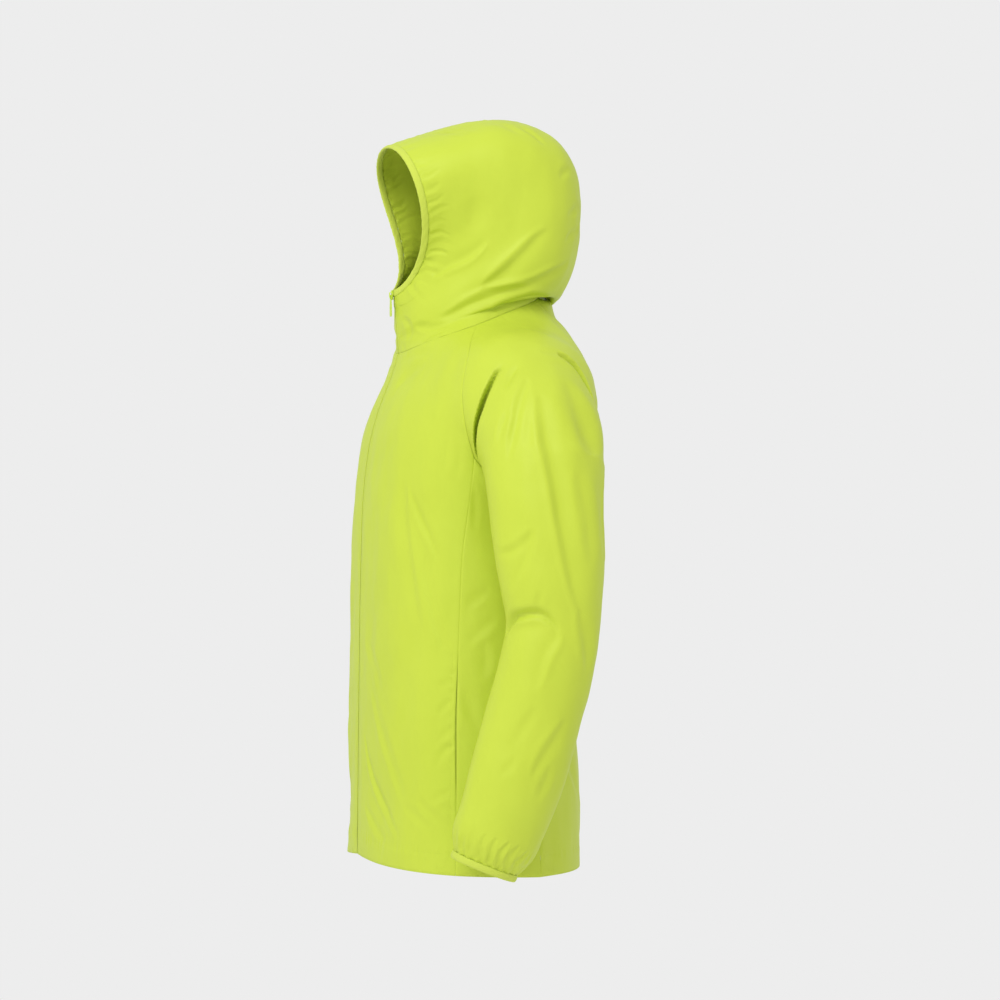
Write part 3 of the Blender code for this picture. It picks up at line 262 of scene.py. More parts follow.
@dataclass(frozen=True)
class SmoothHard(Finish):
    """Drawn nylon or sprayed metal: smooth, with a little unevenness in its gloss."""

    uneven: float = 0.07  # how far the roughness strays to both sides

    def detail(self, tree: bpy.types.NodeTree, shader: bpy.types.Node) -> None:
        """Varies the gloss over the surface."""
        gloss = add_node(
            tree,
            "ShaderNodeMapRange",
            {
                "Value": speckle(tree, scale=900.0, detail=2.0),
                "To Min": self.roughness - self.uneven,
                "To Max": self.roughness + self.uneven,
            },
        )
        tree.links.new(gloss.outputs["Result"], shader.inputs["Roughness"])


# Dyed nylon shell: bright lime, mottled with a slightly deeper tone
SHELL = NylonTaffeta("lime nylon taffeta", "C3D444", 0.5, 1.5, 0.0, 0.25, "BCCD3C")
# Elastic binding, dyed to match and a shade paler for its matt knit
ELASTIC = RibbedTape("lime folded elastic", "C4D350", 0.75, 1.42, 0.05, 0.3)
# Woven polyester zip tape, dyed to match; its colour is set deeper than the shell's as painted
# shade, since the tape lies in shade
SHADE_PAINTED_TAPE = RibbedTape("lime zip tape weave", "A9C420", 0.8, 1.5, 0.1, 0.3, 0.9 * MM)
# Nylon zip coil, a smooth extruded monofilament
COIL = SmoothHard("lime coil monofilament", "9CB41C", 0.4, 1.53)
# Sprayed zinc slider and pull
SPRAYED = SmoothHard("lime sprayed zinc", "C3DB33", 0.38, 1.5)
# Spun polyester sewing thread
THREAD = Finish("lime sewing thread", "A9BE1C", 0.7, 1.5, 0.1)


# ---------------------------------------------------------------- mesh helpers


def deselect_all() -> None:
    """Leaves nothing selected and no object active."""
    for piece in bpy.context.selected_objects:
        piece.select_set(False)
    bpy.context.view_layer.objects.active = None


def make_active(piece: bpy.types.Object) -> None:
    """Selects one object alone and makes it the active one."""
    deselect_all()
    piece.select_set(True)
    bpy.context.view_layer.objects.active = piece


def link_mesh(name: str, mesh: bpy.types.Mesh) -> bpy.types.Object:
    """Puts a mesh in the scene as an object at the origin."""
    piece = bpy.data.objects.new(name, mesh)
    bpy.context.scene.collection.objects.link(piece)
    return piece


def apply_modifiers(piece: bpy.types.Object) -> None:
    """Applies all modifiers of a piece, in order."""
    make_active(piece)
    for modifier in list(piece.modifiers):
        bpy.ops.object.modifier_apply(modifier=modifier.name)
    deselect_all()


def subdivide(piece: bpy.types.Object, levels: int) -> None:
    """Rounds a piece by a number of levels of subdivision."""
    refine = piece.modifiers.new("refine", "SUBSURF")
    refine.levels = refine.render_levels = levels
    apply_modifiers(piece)


def paint(mesh: bpy.types.Mesh, finish: Finish) -> None:
    """Gives a mesh one finish all over."""
    mesh.materials.clear()
    mesh.materials.append(finish.material())


@contextmanager
def opened(mesh: bpy.types.Mesh, keep: bool = True) -> Iterator[bmesh.types.BMesh]:
    """Opens a mesh to read or to edit it.

    Args:
        mesh: the mesh.
        keep: whether the edits are written back at the end.

    Yields:
        The open mesh.
    """
    work = bmesh.new()
    work.from_mesh(mesh)
    yield work
    if keep:
        work.to_mesh(mesh)
    work.free()


def grow_tree(places: Sequence[Vector]) -> KDTree:
    """A tree of places, numbered in their order."""
    tree = KDTree(len(places))
    for number, place in enumerate(places):
        tree.insert(place, number)
    tree.balance()
    return tree


def coordinates(mesh: bpy.types.Mesh) -> np.ndarray:
    """The mesh's vertex positions, one row each."""
    flat = np.empty(len(mesh.vertices) * 3)
    mesh.vertices.foreach_get("co", flat)
    return flat.reshape(-1, 3)


def vertex_normals(mesh: bpy.types.Mesh) -> np.ndarray:
    """The mesh's vertex normals, one row each."""
    flat = np.empty(len(mesh.vertices) * 3)
    mesh.vertex_normals.foreach_get("vector", flat)
    return flat.reshape(-1, 3)


def set_coordinates(mesh: bpy.types.Mesh, points: np.ndarray) -> None:
    """Moves the mesh's vertices to new positions."""
    mesh.vertices.foreach_set("co", points.ravel())
    mesh.update()


def corner_vertices(mesh: bpy.types.Mesh) -> np.ndarray:
    """The vertex at each of the mesh's face corners."""
    corners = np.empty(len(mesh.loops), int)
    mesh.loops.foreach_get("vertex_index", corners)
    return corners


def store_map(mesh: bpy.types.Mesh, flat: np.ndarray) -> None:
    """Stores the mesh's UV map: a place in metres for each face corner."""
    mesh.uv_layers.new(name="cut").data.foreach_set("uv", flat.ravel())


def smooth_step(values: np.ndarray) -> np.ndarray:
    """A soft step from 0 to 1 over values from 0 to 1."""
    held = np.clip(values, 0.0, 1.0)
    return held * held * (3 - 2 * held)


def smooth_line(given: np.ndarray, spacing: float) -> np.ndarray:
    """A smooth line through a few points.

    Args:
        given: the points, one row each, in metres.
        spacing: the distance between the points of the result.

    Returns:
        Points along the line, one row each.
    """
    padded = np.concatenate([2 * given[:1] - given[1:2], given, 2 * given[-1:] - given[-2:-1]])
    line = []
    for a, b, c, d in zip(padded[:-3], padded[1:-2], padded[2:-1], padded[3:]):
        steps = max(2, round(float(np.linalg.norm(c - b)) / spacing))
        t = np.arange(steps)[:, None] / steps
        square = 2 * a - 5 * b + 4 * c - d
        cube = 3 * b - a - 3 * c + d
        line.append(0.5 * (2 * b + (c - a) * t + square * t**2 + cube * t**3))
    return np.concatenate([*line, given[-1:]])


def measured(line: np.ndarray) -> tuple[np.ndarray, np.ndarray]:
    """The lengths of a line's steps, and how far along it each of its points lies."""
    steps = np.linalg.norm(np.diff(line, axis=0), axis=1)
    return steps, np.concatenate([[0.0], np.cumsum(steps)])


def point_at(line: np.ndarray, along: np.ndarray, at: float) -> list[float]:
    """The point of a line at a length along it."""
    return [float(np.interp(at, along, line[:, axis])) for axis in range(3)]


def wander(phase: np.ndarray, amount: float, pace: float) -> np.ndarray:
    """A wave whose pitch comes and goes, so that it doesn't look machined."""
    return np.sin(phase + amount * np.sin(pace * phase))


def nearest_on_line(
    points: np.ndarray, line: np.ndarray, sideways: np.ndarray
) -> tuple[np.ndarray, np.ndarray, np.ndarray]:
    """How far points are from a line, how far along it they are nearest, and on which side.

    Args:
        points: the points, one row each.
        line: the line's points, one row each.
        sideways: the direction to the line's right at each of its points.

    Returns:
        The distances, the shares of the line's length, and the sides, softly from -1 to 1.
    """
    steps, along = measured(line)
    best = np.full(len(points), np.inf)
    share = np.zeros(len(points))
    side = np.zeros(len(points))
    for start, end, length, passed, right in zip(line[:-1], line[1:], steps, along, sideways):
        direction = (end - start) / max(length, 1e-9)
        t = np.clip((points - start) @ direction, 0, length)
        offset = points - start - t[:, None] * direction
        far = np.linalg.norm(offset, axis=1)
        closer = far < best
        best[closer] = far[closer]
        share[closer] = (passed + t[closer]) / along[-1]
        side[closer] = (offset[closer] @ right) / np.maximum(far[closer], MM)
    return best, share, side


def edge_inward(edge: bmesh.types.BMEdge) -> Vector:
    """The direction in the sheet from one of its open edges to its inside."""
    face = edge.link_faces[0]
    middle = (edge.verts[0].co + edge.verts[1].co) / 2
    inward = (edge.verts[1].co - edge.verts[0].co).cross(face.normal).normalized()
    return inward if inward.dot(face.calc_center_median() - middle) > 0 else -inward


ROW_GAP = 8 * MM  # a wider gap between chosen places ends a row
ROW_LEAST = 8  # a row of no more points than this is left out


@dataclass
class Border:
    """The border of an open mesh, for distances from it and along it, and rows beside it."""

    tree: KDTree
    along: list[float]
    places: list[Vector]
    inwards: list[Vector]

    @classmethod
    def of(cls, mesh: bpy.types.Mesh) -> Border:
        """Walks the open edges of a mesh.

        Args:
            mesh: the open mesh.

        Returns:
            Its border, with points at most a millimetre apart.
        """
        places, along, inwards, passed = [], [], [], 0.0
        with opened(mesh, keep=False) as work:
            left = {edge for edge in work.edges if edge.is_boundary}
            while left:
                edge = min(left, key=lambda e: e.index)
                corner = edge.verts[0]
                while edge is not None:
                    left.discard(edge)
                    other = edge.other_vert(corner)
                    span = other.co - corner.co
                    inward = edge_inward(edge)
                    steps = max(1, math.ceil(span.length / MM))
                    for step in range(steps):
                        places.append(corner.co + span * (step / steps))
                        along.append(passed + span.length * step / steps)
                        inwards.append(inward)
                    passed += span.length
                    corner = other
                    edge = next((e for e in corner.link_edges if e in left), None)
        return cls(grow_tree(places), along, places, inwards)

    def rows(self, wanted: Callable[[Vector], bool], distance: float) -> list[np.ndarray]:
        """Lines that run beside chosen stretches of the border.

        Args:
            wanted: says whether a place on the border is chosen.
            distance: how far in from the border the lines run.

        Returns:
            The lines, as rows of points.
        """
        lines, row = [], []
        for place, inward in zip(self.places, self.inwards):
            if wanted(place) and (not row or (place - row[-1][0]).length < ROW_GAP):
                row.append((place, place + inward * distance))
                continue
            lines.append(row)
            row = []
        lines.append(row)
        return [np.array([point for _, point in row]) for row in lines if len(row) > ROW_LEAST]

    def measure(self, points: np.ndarray) -> tuple[np.ndarray, np.ndarray]:
        """Distances of points from the border, and how far along it they are nearest.

        Args:
            points: the points, one row each.

        Returns:
            The distances, and the lengths along the border, in metres.
        """
        found = [self.tree.find(point) for point in points]
        return (
            np.array([distance for _, _, distance in found]),
            np.array([self.along[number] for _, number, _ in found]),
        )


# ---------------------------------------------------------------- folds


# The shape that every crease shares
LINE_SPACING = 8 * MM  # between the points of its smooth line
ENDS_WIDTH, MIDDLE_WIDTH = 0.45, 0.55  # its width at its ends, and what the middle adds to it
LEAN_WIDTH = 0.4  # how much narrower a leaning crease is on its steep side
LEAN_LIP = 1.3  # how much higher its lip is there
LIP_SHARE = 0.35  # a lip's height, as a share of the crease's depth
LIP_TALLEST = 1.4  # and in millimetres at most, as the deepest valleys barely raise their banks
LIP_PLACE, LIP_WIDTH = 1.9, 0.8  # where a lip stands and how wide it is, in the crease's widths


@dataclass(frozen=True)
class Crease:
    """A soft trough in the cloth, or a ridge where its depth is negative.

    Its points lie on the left side, in millimetres; the right side's own crease is weaker or
    stronger by the share given, and lies a little lower or higher.
    """

    points: tuple[Point, ...]
    width: float
    depth: float
    right_share: float = 0.8
    right_shift: float = 0.0
    deepest: float = 0.5
    lean: float = 0.0  # above 0, the left jacket side's crease is steep and lipped on its right
    walls: float = 2.0  # above 2, the walls are steeper and the floor flatter
    aim: float | None = None  # azimuth it is tucked in from, where that isn't square to the cloth

    def push(
        self, points: np.ndarray, normals: np.ndarray, side: Side, surface: BVHTree
    ) -> np.ndarray:
        """How the crease moves each point.

        Args:
            points: the cloth's points, in metres.
            normals: the cloth's directions outward.
            side: which side of the jacket the crease is on.
            surface: the cloth before it is folded.

        Returns:
            The moves, in metres, one row each.
        """
        given = np.array(self.points, float)
        depth, lean = self.depth, self.lean
        if side is Side.RIGHT:
            given = given * (-1, 1, 1) + (0, 0, self.right_shift)
            depth *= self.right_share
            lean = -lean
        drawn = smooth_line(given * MM, LINE_SPACING)
        found = [surface.find_nearest(Vector(point)) for point in drawn]
        line = np.array([place for place, _, _, _ in found])
        ahead = np.gradient(line, axis=0)
        ahead /= np.maximum(np.linalg.norm(ahead, axis=1), 1e-9)[:, None]
        sideways = np.cross(ahead, np.array([normal for _, normal, _, _ in found]))
        far, share, right = nearest_on_line(points, line, sideways)
        eased = share ** (math.log(0.5) / math.log(self.deepest))
        taper = np.sqrt(np.clip(np.sin(math.pi * eased), 0, 1))
        width = self.width * MM * (1 - LEAN_WIDTH * lean * right)
        scaled = far / (width * (ENDS_WIDTH + MIDDLE_WIDTH * taper))
        trough = np.exp(-(scaled**self.walls))
        lip = min(LIP_SHARE, LIP_TALLEST / abs(depth)) * (1 + LEAN_LIP * lean * right)
        lips = lip * np.exp(-(((scaled - LIP_PLACE) / LIP_WIDTH) ** 2))
        if self.aim is not None:
            turn = math.radians(self.aim)
            normals = np.array((side.value * math.sin(turn), -math.cos(turn), 0.0))
        return (-depth * MM * taper * (trough - lips))[:, None] * normals


@dataclass(frozen=True)
class Rumple:
    """Soft unevenness all over a panel, drawn out along its height."""

    depth: float
    across: float
    along: float
    start: float = 0.0

    def push(self, points: np.ndarray) -> np.ndarray:
        """How far the unevenness moves each point along its normal, in metres."""
        scale = np.array((1 / self.across, 1 / self.across, 1 / self.along)) / MM
        places = points * scale + self.start
        waves = [noise.fractal(Vector(place), 1.0, 2.1, 2) for place in places]
        return self.depth * MM * np.array(waves)


# The shape that every row of stitching shares
FADED = 3  # a row's gathers are gone beyond this many times their reach
ROW_ENDS = 8 * MM  # it fades in over this at its ends
ROW_GROOVE = 1.1 * MM  # how wide the groove under the stitches is
ROW_STEP = 1.2 * MM  # the cloth beyond the row rises over this


@dataclass(frozen=True)
class SewnRow:
    """A row of stitching beside an edge: where it runs, and how it draws the cloth in."""

    pieces: tuple[str, ...]
    wanted: Callable[[Vector], bool]
    distance: float
    dip: float
    pitch: float
    depth: float
    reach: float
    step: float = 0.0  # how much the cloth between the row and the edge stands out

    def push(self, points: np.ndarray, line: np.ndarray, far_edge: np.ndarray) -> np.ndarray:
        """How far the row moves each point along its normal.

        Args:
            points: the cloth's points, in metres.
            line: the row's own points.
            far_edge: the points' distances from the border.

        Returns:
            Signed distances, in metres.
        """
        tree = grow_tree(line)
        reach = self.reach * MM
        push = np.zeros(len(points))
        boxed = np.clip(points, line.min(axis=0), line.max(axis=0))
        near = np.linalg.norm(points - boxed, axis=1)
        for index in np.nonzero(near < FADED * reach)[0]:
            _, number, far = tree.find(points[index])
            ends = min(number, len(line) - 1 - number) * MM
            phase = math.tau * number / self.pitch
            # the rates have no common measure, so the gathers don't repeat
            wave = math.sin(phase + 1.3 * math.sin(0.31 * phase))
            uneven = wave * (0.6 + 0.4 * math.sin(0.21 * phase))
            fade = math.exp(-((far / reach) ** 2)) * min(1.0, ends / ROW_ENDS)
            beyond = 0.5 + (self.distance * MM - far_edge[index]) / ROW_STEP
            beyond = max(0.0, min(1.0, beyond))
            groove = self.dip * math.exp(-((far / ROW_GROOVE) ** 2))
            push[index] = MM * fade * (self.depth * uneven - groove + self.step * beyond)
        return push


# The shape that all gathers share
ZONE_EDGE = 10 * MM  # they fade in over this at the edge of their zone
SEAM_CLEAR = 2.5 * MM  # and over this beside the seam itself


@dataclass(frozen=True)
class Puckers:
    """Small uneven gathers beside a seam, in a zone between two corners given in millimetres."""

    low: Point
    high: Point
    pitch: float
    depth: float
    reach: float

    def push(self, points: np.ndarray, far: np.ndarray, along: np.ndarray, sign: int) -> np.ndarray:
        """How far the gathers move each point along its normal.

        Args:
            points: the cloth's points, in metres.
            far: their distances from the border.
            along: how far along the border they are nearest.
            sign: the side of the jacket, as the sign of X.

        Returns:
            Signed distances, in metres.
        """
        low, high = np.array(self.low) * MM, np.array(self.high) * MM
        own = points * (sign, 1, 1)
        room = np.minimum(own - low, high - own).min(axis=1)
        inside = smooth_step(room / ZONE_EDGE)
        phase = math.tau * along / (self.pitch * MM)
        # the rates have no common measure, so the gathers don't repeat
        wave = wander(phase, 1.1, 0.37)
        uneven = (wave - 0.35 * wave**2) * (0.65 + 0.35 * np.sin(0.23 * phase + 1.0))
        reach = self.reach * MM * (0.75 + 0.45 * np.sin(0.41 * phase + 2.0))
        fade = np.exp(-((far / reach) ** 2)) * smooth_step(far / SEAM_CLEAR)
        return self.depth * MM * uneven * inside * fade


ANYWHERE = ((-900.0, -900.0, -900.0), (900.0, 900.0, 900.0))

def creases(*rows: tuple) -> tuple[Crease, ...]:
    """Creases from rows of a crease's fields, in their order."""
    return tuple(Crease(*row) for row in rows)


# Each row: points, width, depth, right share, right shift, deepest, lean, walls, aim
SLEEVE_CREASES = creases(
    # the armpit's valley, from the front of the shoulder down to the underarm
    (((217, -4, -65), (216, -14, -74), (219, -23, -91), (219, -31, -108), (217, -38, -127),
      (212, -40, -147), (205, -38, -163), (198, -34, -176)), 4.2, 26.0, 0.85, -6, 0.66, 0.0, 4.0,
      68.0),
    (((228, 10, -65), (231, 1, -75), (237, -6, -85), (243, -10, -94)), 4.5, 2.6, 0.7, -5),
    (((247, 16, -80), (262, 2, -106), (272, -8, -142), (279, -17, -178)), 5, 2.2, 0.8, 8, 0.4,
      0.3),
    (((262, -11, -120), (262, -19, -136), (265, -26, -160)), 4.5, 2.0, 1.2, -7, 0.4),
    (((271, 18, -106), (280, 10, -136), (291, 4, -166)), 6, 1.0, 0.9, 5),
    # the valley behind the shoulder, and the drag below it
    (((208, 66, -49), (207, 79, -56), (206, 89, -67), (208, 97, -79), (211, 103, -95),
      (212, 104, -115), (208, 98, -137), (201, 86, -158)), 5.8, 11.0, 1.0, 4, 0.4, 0.0, 3.0,
      112.0),
    (((211, 41, -45), (208, 61, -47), (202, 75, -50)), 6, 1.2, 0.8, 0),
    # long draws down the outside of the arm
    (((267, 27, -100), (282, 25, -130), (297, 28, -166), (305, 34, -201), (313, 39, -249),
      (319, 44, -284), (321, 53, -331), (317, 64, -364)), 9, 3.2, 0.8, 10, 0.4, 0.7),
    (((246, 64, -82), (267, 72, -112), (272, 83, -142), (279, 91, -172)), 16, 4.2, 1.1, -6, 0.6),
    (((300, 62, -190), (306, 70, -240), (310, 74, -300)), 9, 1.8, 0.9, 12, 0.5, 0.3),
    # creases in the crook of the elbow
    (((310, 4, -260), (308, -1, -281), (305, -9, -303), (295, -17, -331)), 5.5, 1.8, 0.7, -9, 0.3),
    (((276, -30, -288), (296, -17, -284), (305, -5, -273), (309, 3, -263)), 5, 2.4, 0.7, -9, 0.5,
      -0.5),
    (((266, -19, -385), (278, -16, -374), (289, -11, -364), (306, 2, -359), (313, 14, -360),
      (317, 25, -368), (319, 33, -380)), 5, 7.5, 0.9, 6, 0.35, 0.4),
    (((318, 12, -331), (315, 10, -347), (313, 14, -360)), 4, 1.3, 1.2, 0),
    (((319, 33, -382), (320, 23, -395), (319, 13, -413), (319, 5, -448)), 8, 2.0, 0.8, 6, 0.35,
      -0.7),
    # forearm
    (((316, 44, -484), (318, 31, -504), (319, 17, -525), (319, 2, -551)), 7, 2.0, 1.2, -8, 0.5,
      0.5),
    (((315, 27, -536), (315, 18, -560), (315, 10, -577)), 6, 1.5, 0.8, 7),
    (((313, -18, -512), (314, -10, -495), (319, 5, -471)), 6, 1.0, 1.1, 5),
    (((311, -35, -547), (314, -26, -539), (315, -18, -526)), 5, 0.9, 1.1, 5),
    (((319, 60, -354), (314, 69, -390), (307, 73, -426)), 8, 2.2, 0.8, 9, 0.5, 0.4),
    # gathers above the cuff
    (((299, -46, -652), (307, -45, -635), (309, -39, -621)), 3.2, 1.7, 1.0, 2, 0.35),
    (((300, -36, -655), (308, -33, -638), (310, -23, -626)), 3.0, 2.0, 0.7, 0, 0.3),
    (((297, -26, -659), (305, -23, -645), (307, -10, -631)), 3.4, 1.6, 1.2, 3, 0.35),
    (((290, -14, -664), (300, -12, -652), (299, 3, -639)), 3.2, 1.9, 0.8, -2, 0.3),
    (((278, -2, -665), (290, 0, -655), (296, 8, -642)), 3.2, 1.4, 1.1, 0, 0.35),
    (((295, -58, -647), (302, -57, -631), (306, -51, -616)), 3.4, 1.4, 1.2, -3, 0.3),
    (((289, -69, -642), (295, -68, -626), (298, -63, -612)), 3.2, 1.1, 0.9, 2, 0.35),
    (((279, -76, -637), (283, -75, -627), (286, -74, -617)), 3.2, 1.0, 1.0, -2, 0.4),
    (((262, 8, -664), (266, 18, -650), (270, 22, -628)), 3.4, 1.6, 1.0, 3, 0.35),
    (((246, 10, -662), (246, 16, -648), (250, 20, -630)), 3.2, 1.3, 0.8, -3, 0.4),
    (((232, 0, -652), (232, 6, -640), (236, 12, -622)), 3.4, 1.7, 1.1, 0, 0.35),
    (((226, -20, -640), (224, -20, -628), (224, -14, -612)), 3.2, 1.4, 0.9, 2, 0.4),
    (((229, -42, -632), (226, -42, -620), (226, -36, -604)), 3.4, 1.7, 1.2, 0, 0.3),
    (((238, -62, -626), (236, -62, -614), (238, -58, -600)), 3.2, 1.2, 0.8, -2, 0.4),
    (((256, -74, -628), (256, -76, -616), (256, -76, -602)), 3.2, 1.5, 1.1, 0, 0.35),
    # the inner and back faces, which the body hides
    (((214, 20, -260), (220, 50, -285), (236, 76, -300)), 7, 3.4, 1.0, 8, 0.5, 0.4),
    (((226, 0, -340), (230, 30, -362), (246, 62, -372)), 6, 4.2, 0.8, -6, 0.4, 0.4),
    (((240, 90, -180), (262, 96, -230), (276, 94, -300)), 9, 3.0, 0.9, 9, 0.5, 0.5),
    (((232, 60, -430), (242, 30, -470), (246, -4, -500)), 7, 2.4, 1.1, -7, 0.5, -0.4),
)

FRONT_CREASES = creases(
    # draws from the armhole over the chest
    (((127, -99, -215), (140, -90, -246), (154, -81, -271), (163, -73, -297)), 4.5, 2.0, 0.8, 7,
      0.5, 0.4),
    (((117, -104, -201), (121, -105, -249), (132, -103, -298), (143, -98, -346), (153, -92, -384)),
      8, 1.8, 0.9, -8, 0.5, -0.7),
    (((148, -86, -291), (158, -82, -334), (166, -77, -370), (175, -69, -406)), 6, 1.5, 0.8, 9, 0.5,
      0.4),
    (((88, -71, -60), (59, -84, -71), (38, -94, -87)), 7, 1.2, 1.1, 4),
    (((24, -86, -54), (52, -78, -47), (84, -63, -44)), 5, 0.9, 0.9, -3),
    (((176, -50, -153), (174, -50, -177), (172, -52, -201)), 5, 0.8, 0.9, -4),
    (((165, -60, -140), (164, -62, -170), (160, -66, -196)), 6, 0.6, 1.1, 6),
    # long draws towards the pocket and the hem
    (((34, -133, -398), (65, -130, -424), (84, -126, -457)), 7, 1.0, 0.9, 6),
    (((59, -131, -458), (91, -126, -506), (118, -118, -551), (136, -111, -588)), 7, 1.2, 0.9, 6,
      0.5, 0.4),
    (((34, -134, -515), (53, -131, -555), (79, -125, -586), (109, -120, -614), (130, -114, -632)),
      5, 2.2, 0.8, 5, 0.55, 0.5),
    (((39, -134, -602), (74, -129, -627), (101, -123, -642)), 5, 1.6, 1.0, -5, 0.5, 0.3),
    (((159, -97, -587), (175, -84, -604), (189, -69, -616)), 5, 1.3, 1.0, 4),
    (((139, -110, -595), (160, -97, -608), (178, -82, -622)), 5, 1.1, 0.8, -4),
    (((40, -124, -330), (52, -126, -400), (56, -128, -470)), 12, 1.0, 1.2, 10),
    # gathers beside the pocket's slit
    (((183, -61, -465), (179, -70, -473), (173, -78, -485)), 4, 1.3, 1.0, 5, 0.4),
    (((186, -62, -500), (180, -72, -508), (175, -79, -518)), 4, 0.9, 1.2, -4, 0.4),
    (((186, -62, -520), (180, -73, -530), (176, -79, -546)), 4.5, 1.4, 0.8, 6, 0.4),
    (((188, -65, -573), (181, -75, -581), (173, -86, -586)), 4, 1.2, 1.1, -5, 0.4),
    (((182, -60, -440), (176, -68, -446), (170, -76, -452)), 4, 0.8, 0.9, 3, 0.4),
)

SIDE_CREASES = creases(
    (((177, -40, -201), (179, -32, -225), (179, -32, -261)), 5, 1.0, 0.9, 6),
    (((182, -43, -353), (185, -32, -345), (186, -14, -331)), 6, 1.0, 0.8, -7, 0.4, 0.4),
    (((187, -40, -396), (189, -25, -381), (189, -8, -367)), 7, 1.2, 1.1, 8, 0.5, 0.5),
    (((190, -25, -393), (192, -23, -417), (193, -24, -439)), 8, 1.4, 0.9, -6, 0.5, -0.4),
    (((188, -49, -453), (193, -41, -480), (197, -30, -501)), 7, 1.0, 1.0, 6, 0.5, 0.4),
    (((196, 30, -560), (197, 0, -590), (194, -40, -606)), 8, 1.6, 0.9, -6),
)

BACK_CREASES = creases(
    # the swell below the neck seam, where the hood rests
    (((-20, 107, 23), (0, 108, 23), (26, 104, 22), (52, 91, 18)), 10, -5.4, 1.0, 0, 0.5),
    (((-20, 110, 12), (0, 111, 12), (26, 107, 11), (52, 95, 7)), 9, -2.0, 1.0, 0, 0.5),
    # draws from the back raglan seams, and drag lines over the hips
    (((150, 104, -150), (136, 122, -190), (126, 130, -250)), 8, 3.2, 0.9, 8, 0.4, 0.5),
    (((168, 92, -200), (158, 108, -240), (146, 118, -300)), 7, 3.0, 1.1, -7, 0.4, 0.4),
    (((110, 122, -90), (96, 130, -130), (90, 134, -190)), 9, 3.0, 0.8, 6, 0.4, 0.5),
    (((60, 134, -70), (44, 138, -110), (36, 140, -160)), 8, 2.2, 1.2, -5, 0.4),
    (((170, 84, -420), (140, 108, -440), (104, 122, -452)), 8, 3.2, 0.8, 9, 0.4, 0.4),
    (((172, 80, -520), (148, 98, -548), (120, 108, -588)), 8, 2.8, 1.1, -8, 0.5, 0.5),
    (((70, 132, -330), (76, 130, -400), (70, 126, -470)), 10, 2.8, 0.9, 12, 0.5, 0.4),
    (((-6, 140, -200), (14, 141, -262), (22, 138, -330)), 10, 2.2, 0.7, -14, 0.4, -0.4),
    (((30, 132, -500), (42, 124, -560), (50, 118, -620)), 9, 2.2, 1.1, 8),
    (((104, 118, -560), (84, 120, -600), (70, 118, -640)), 7, 1.8, 0.8, -10, 0.5, 0.4),
)

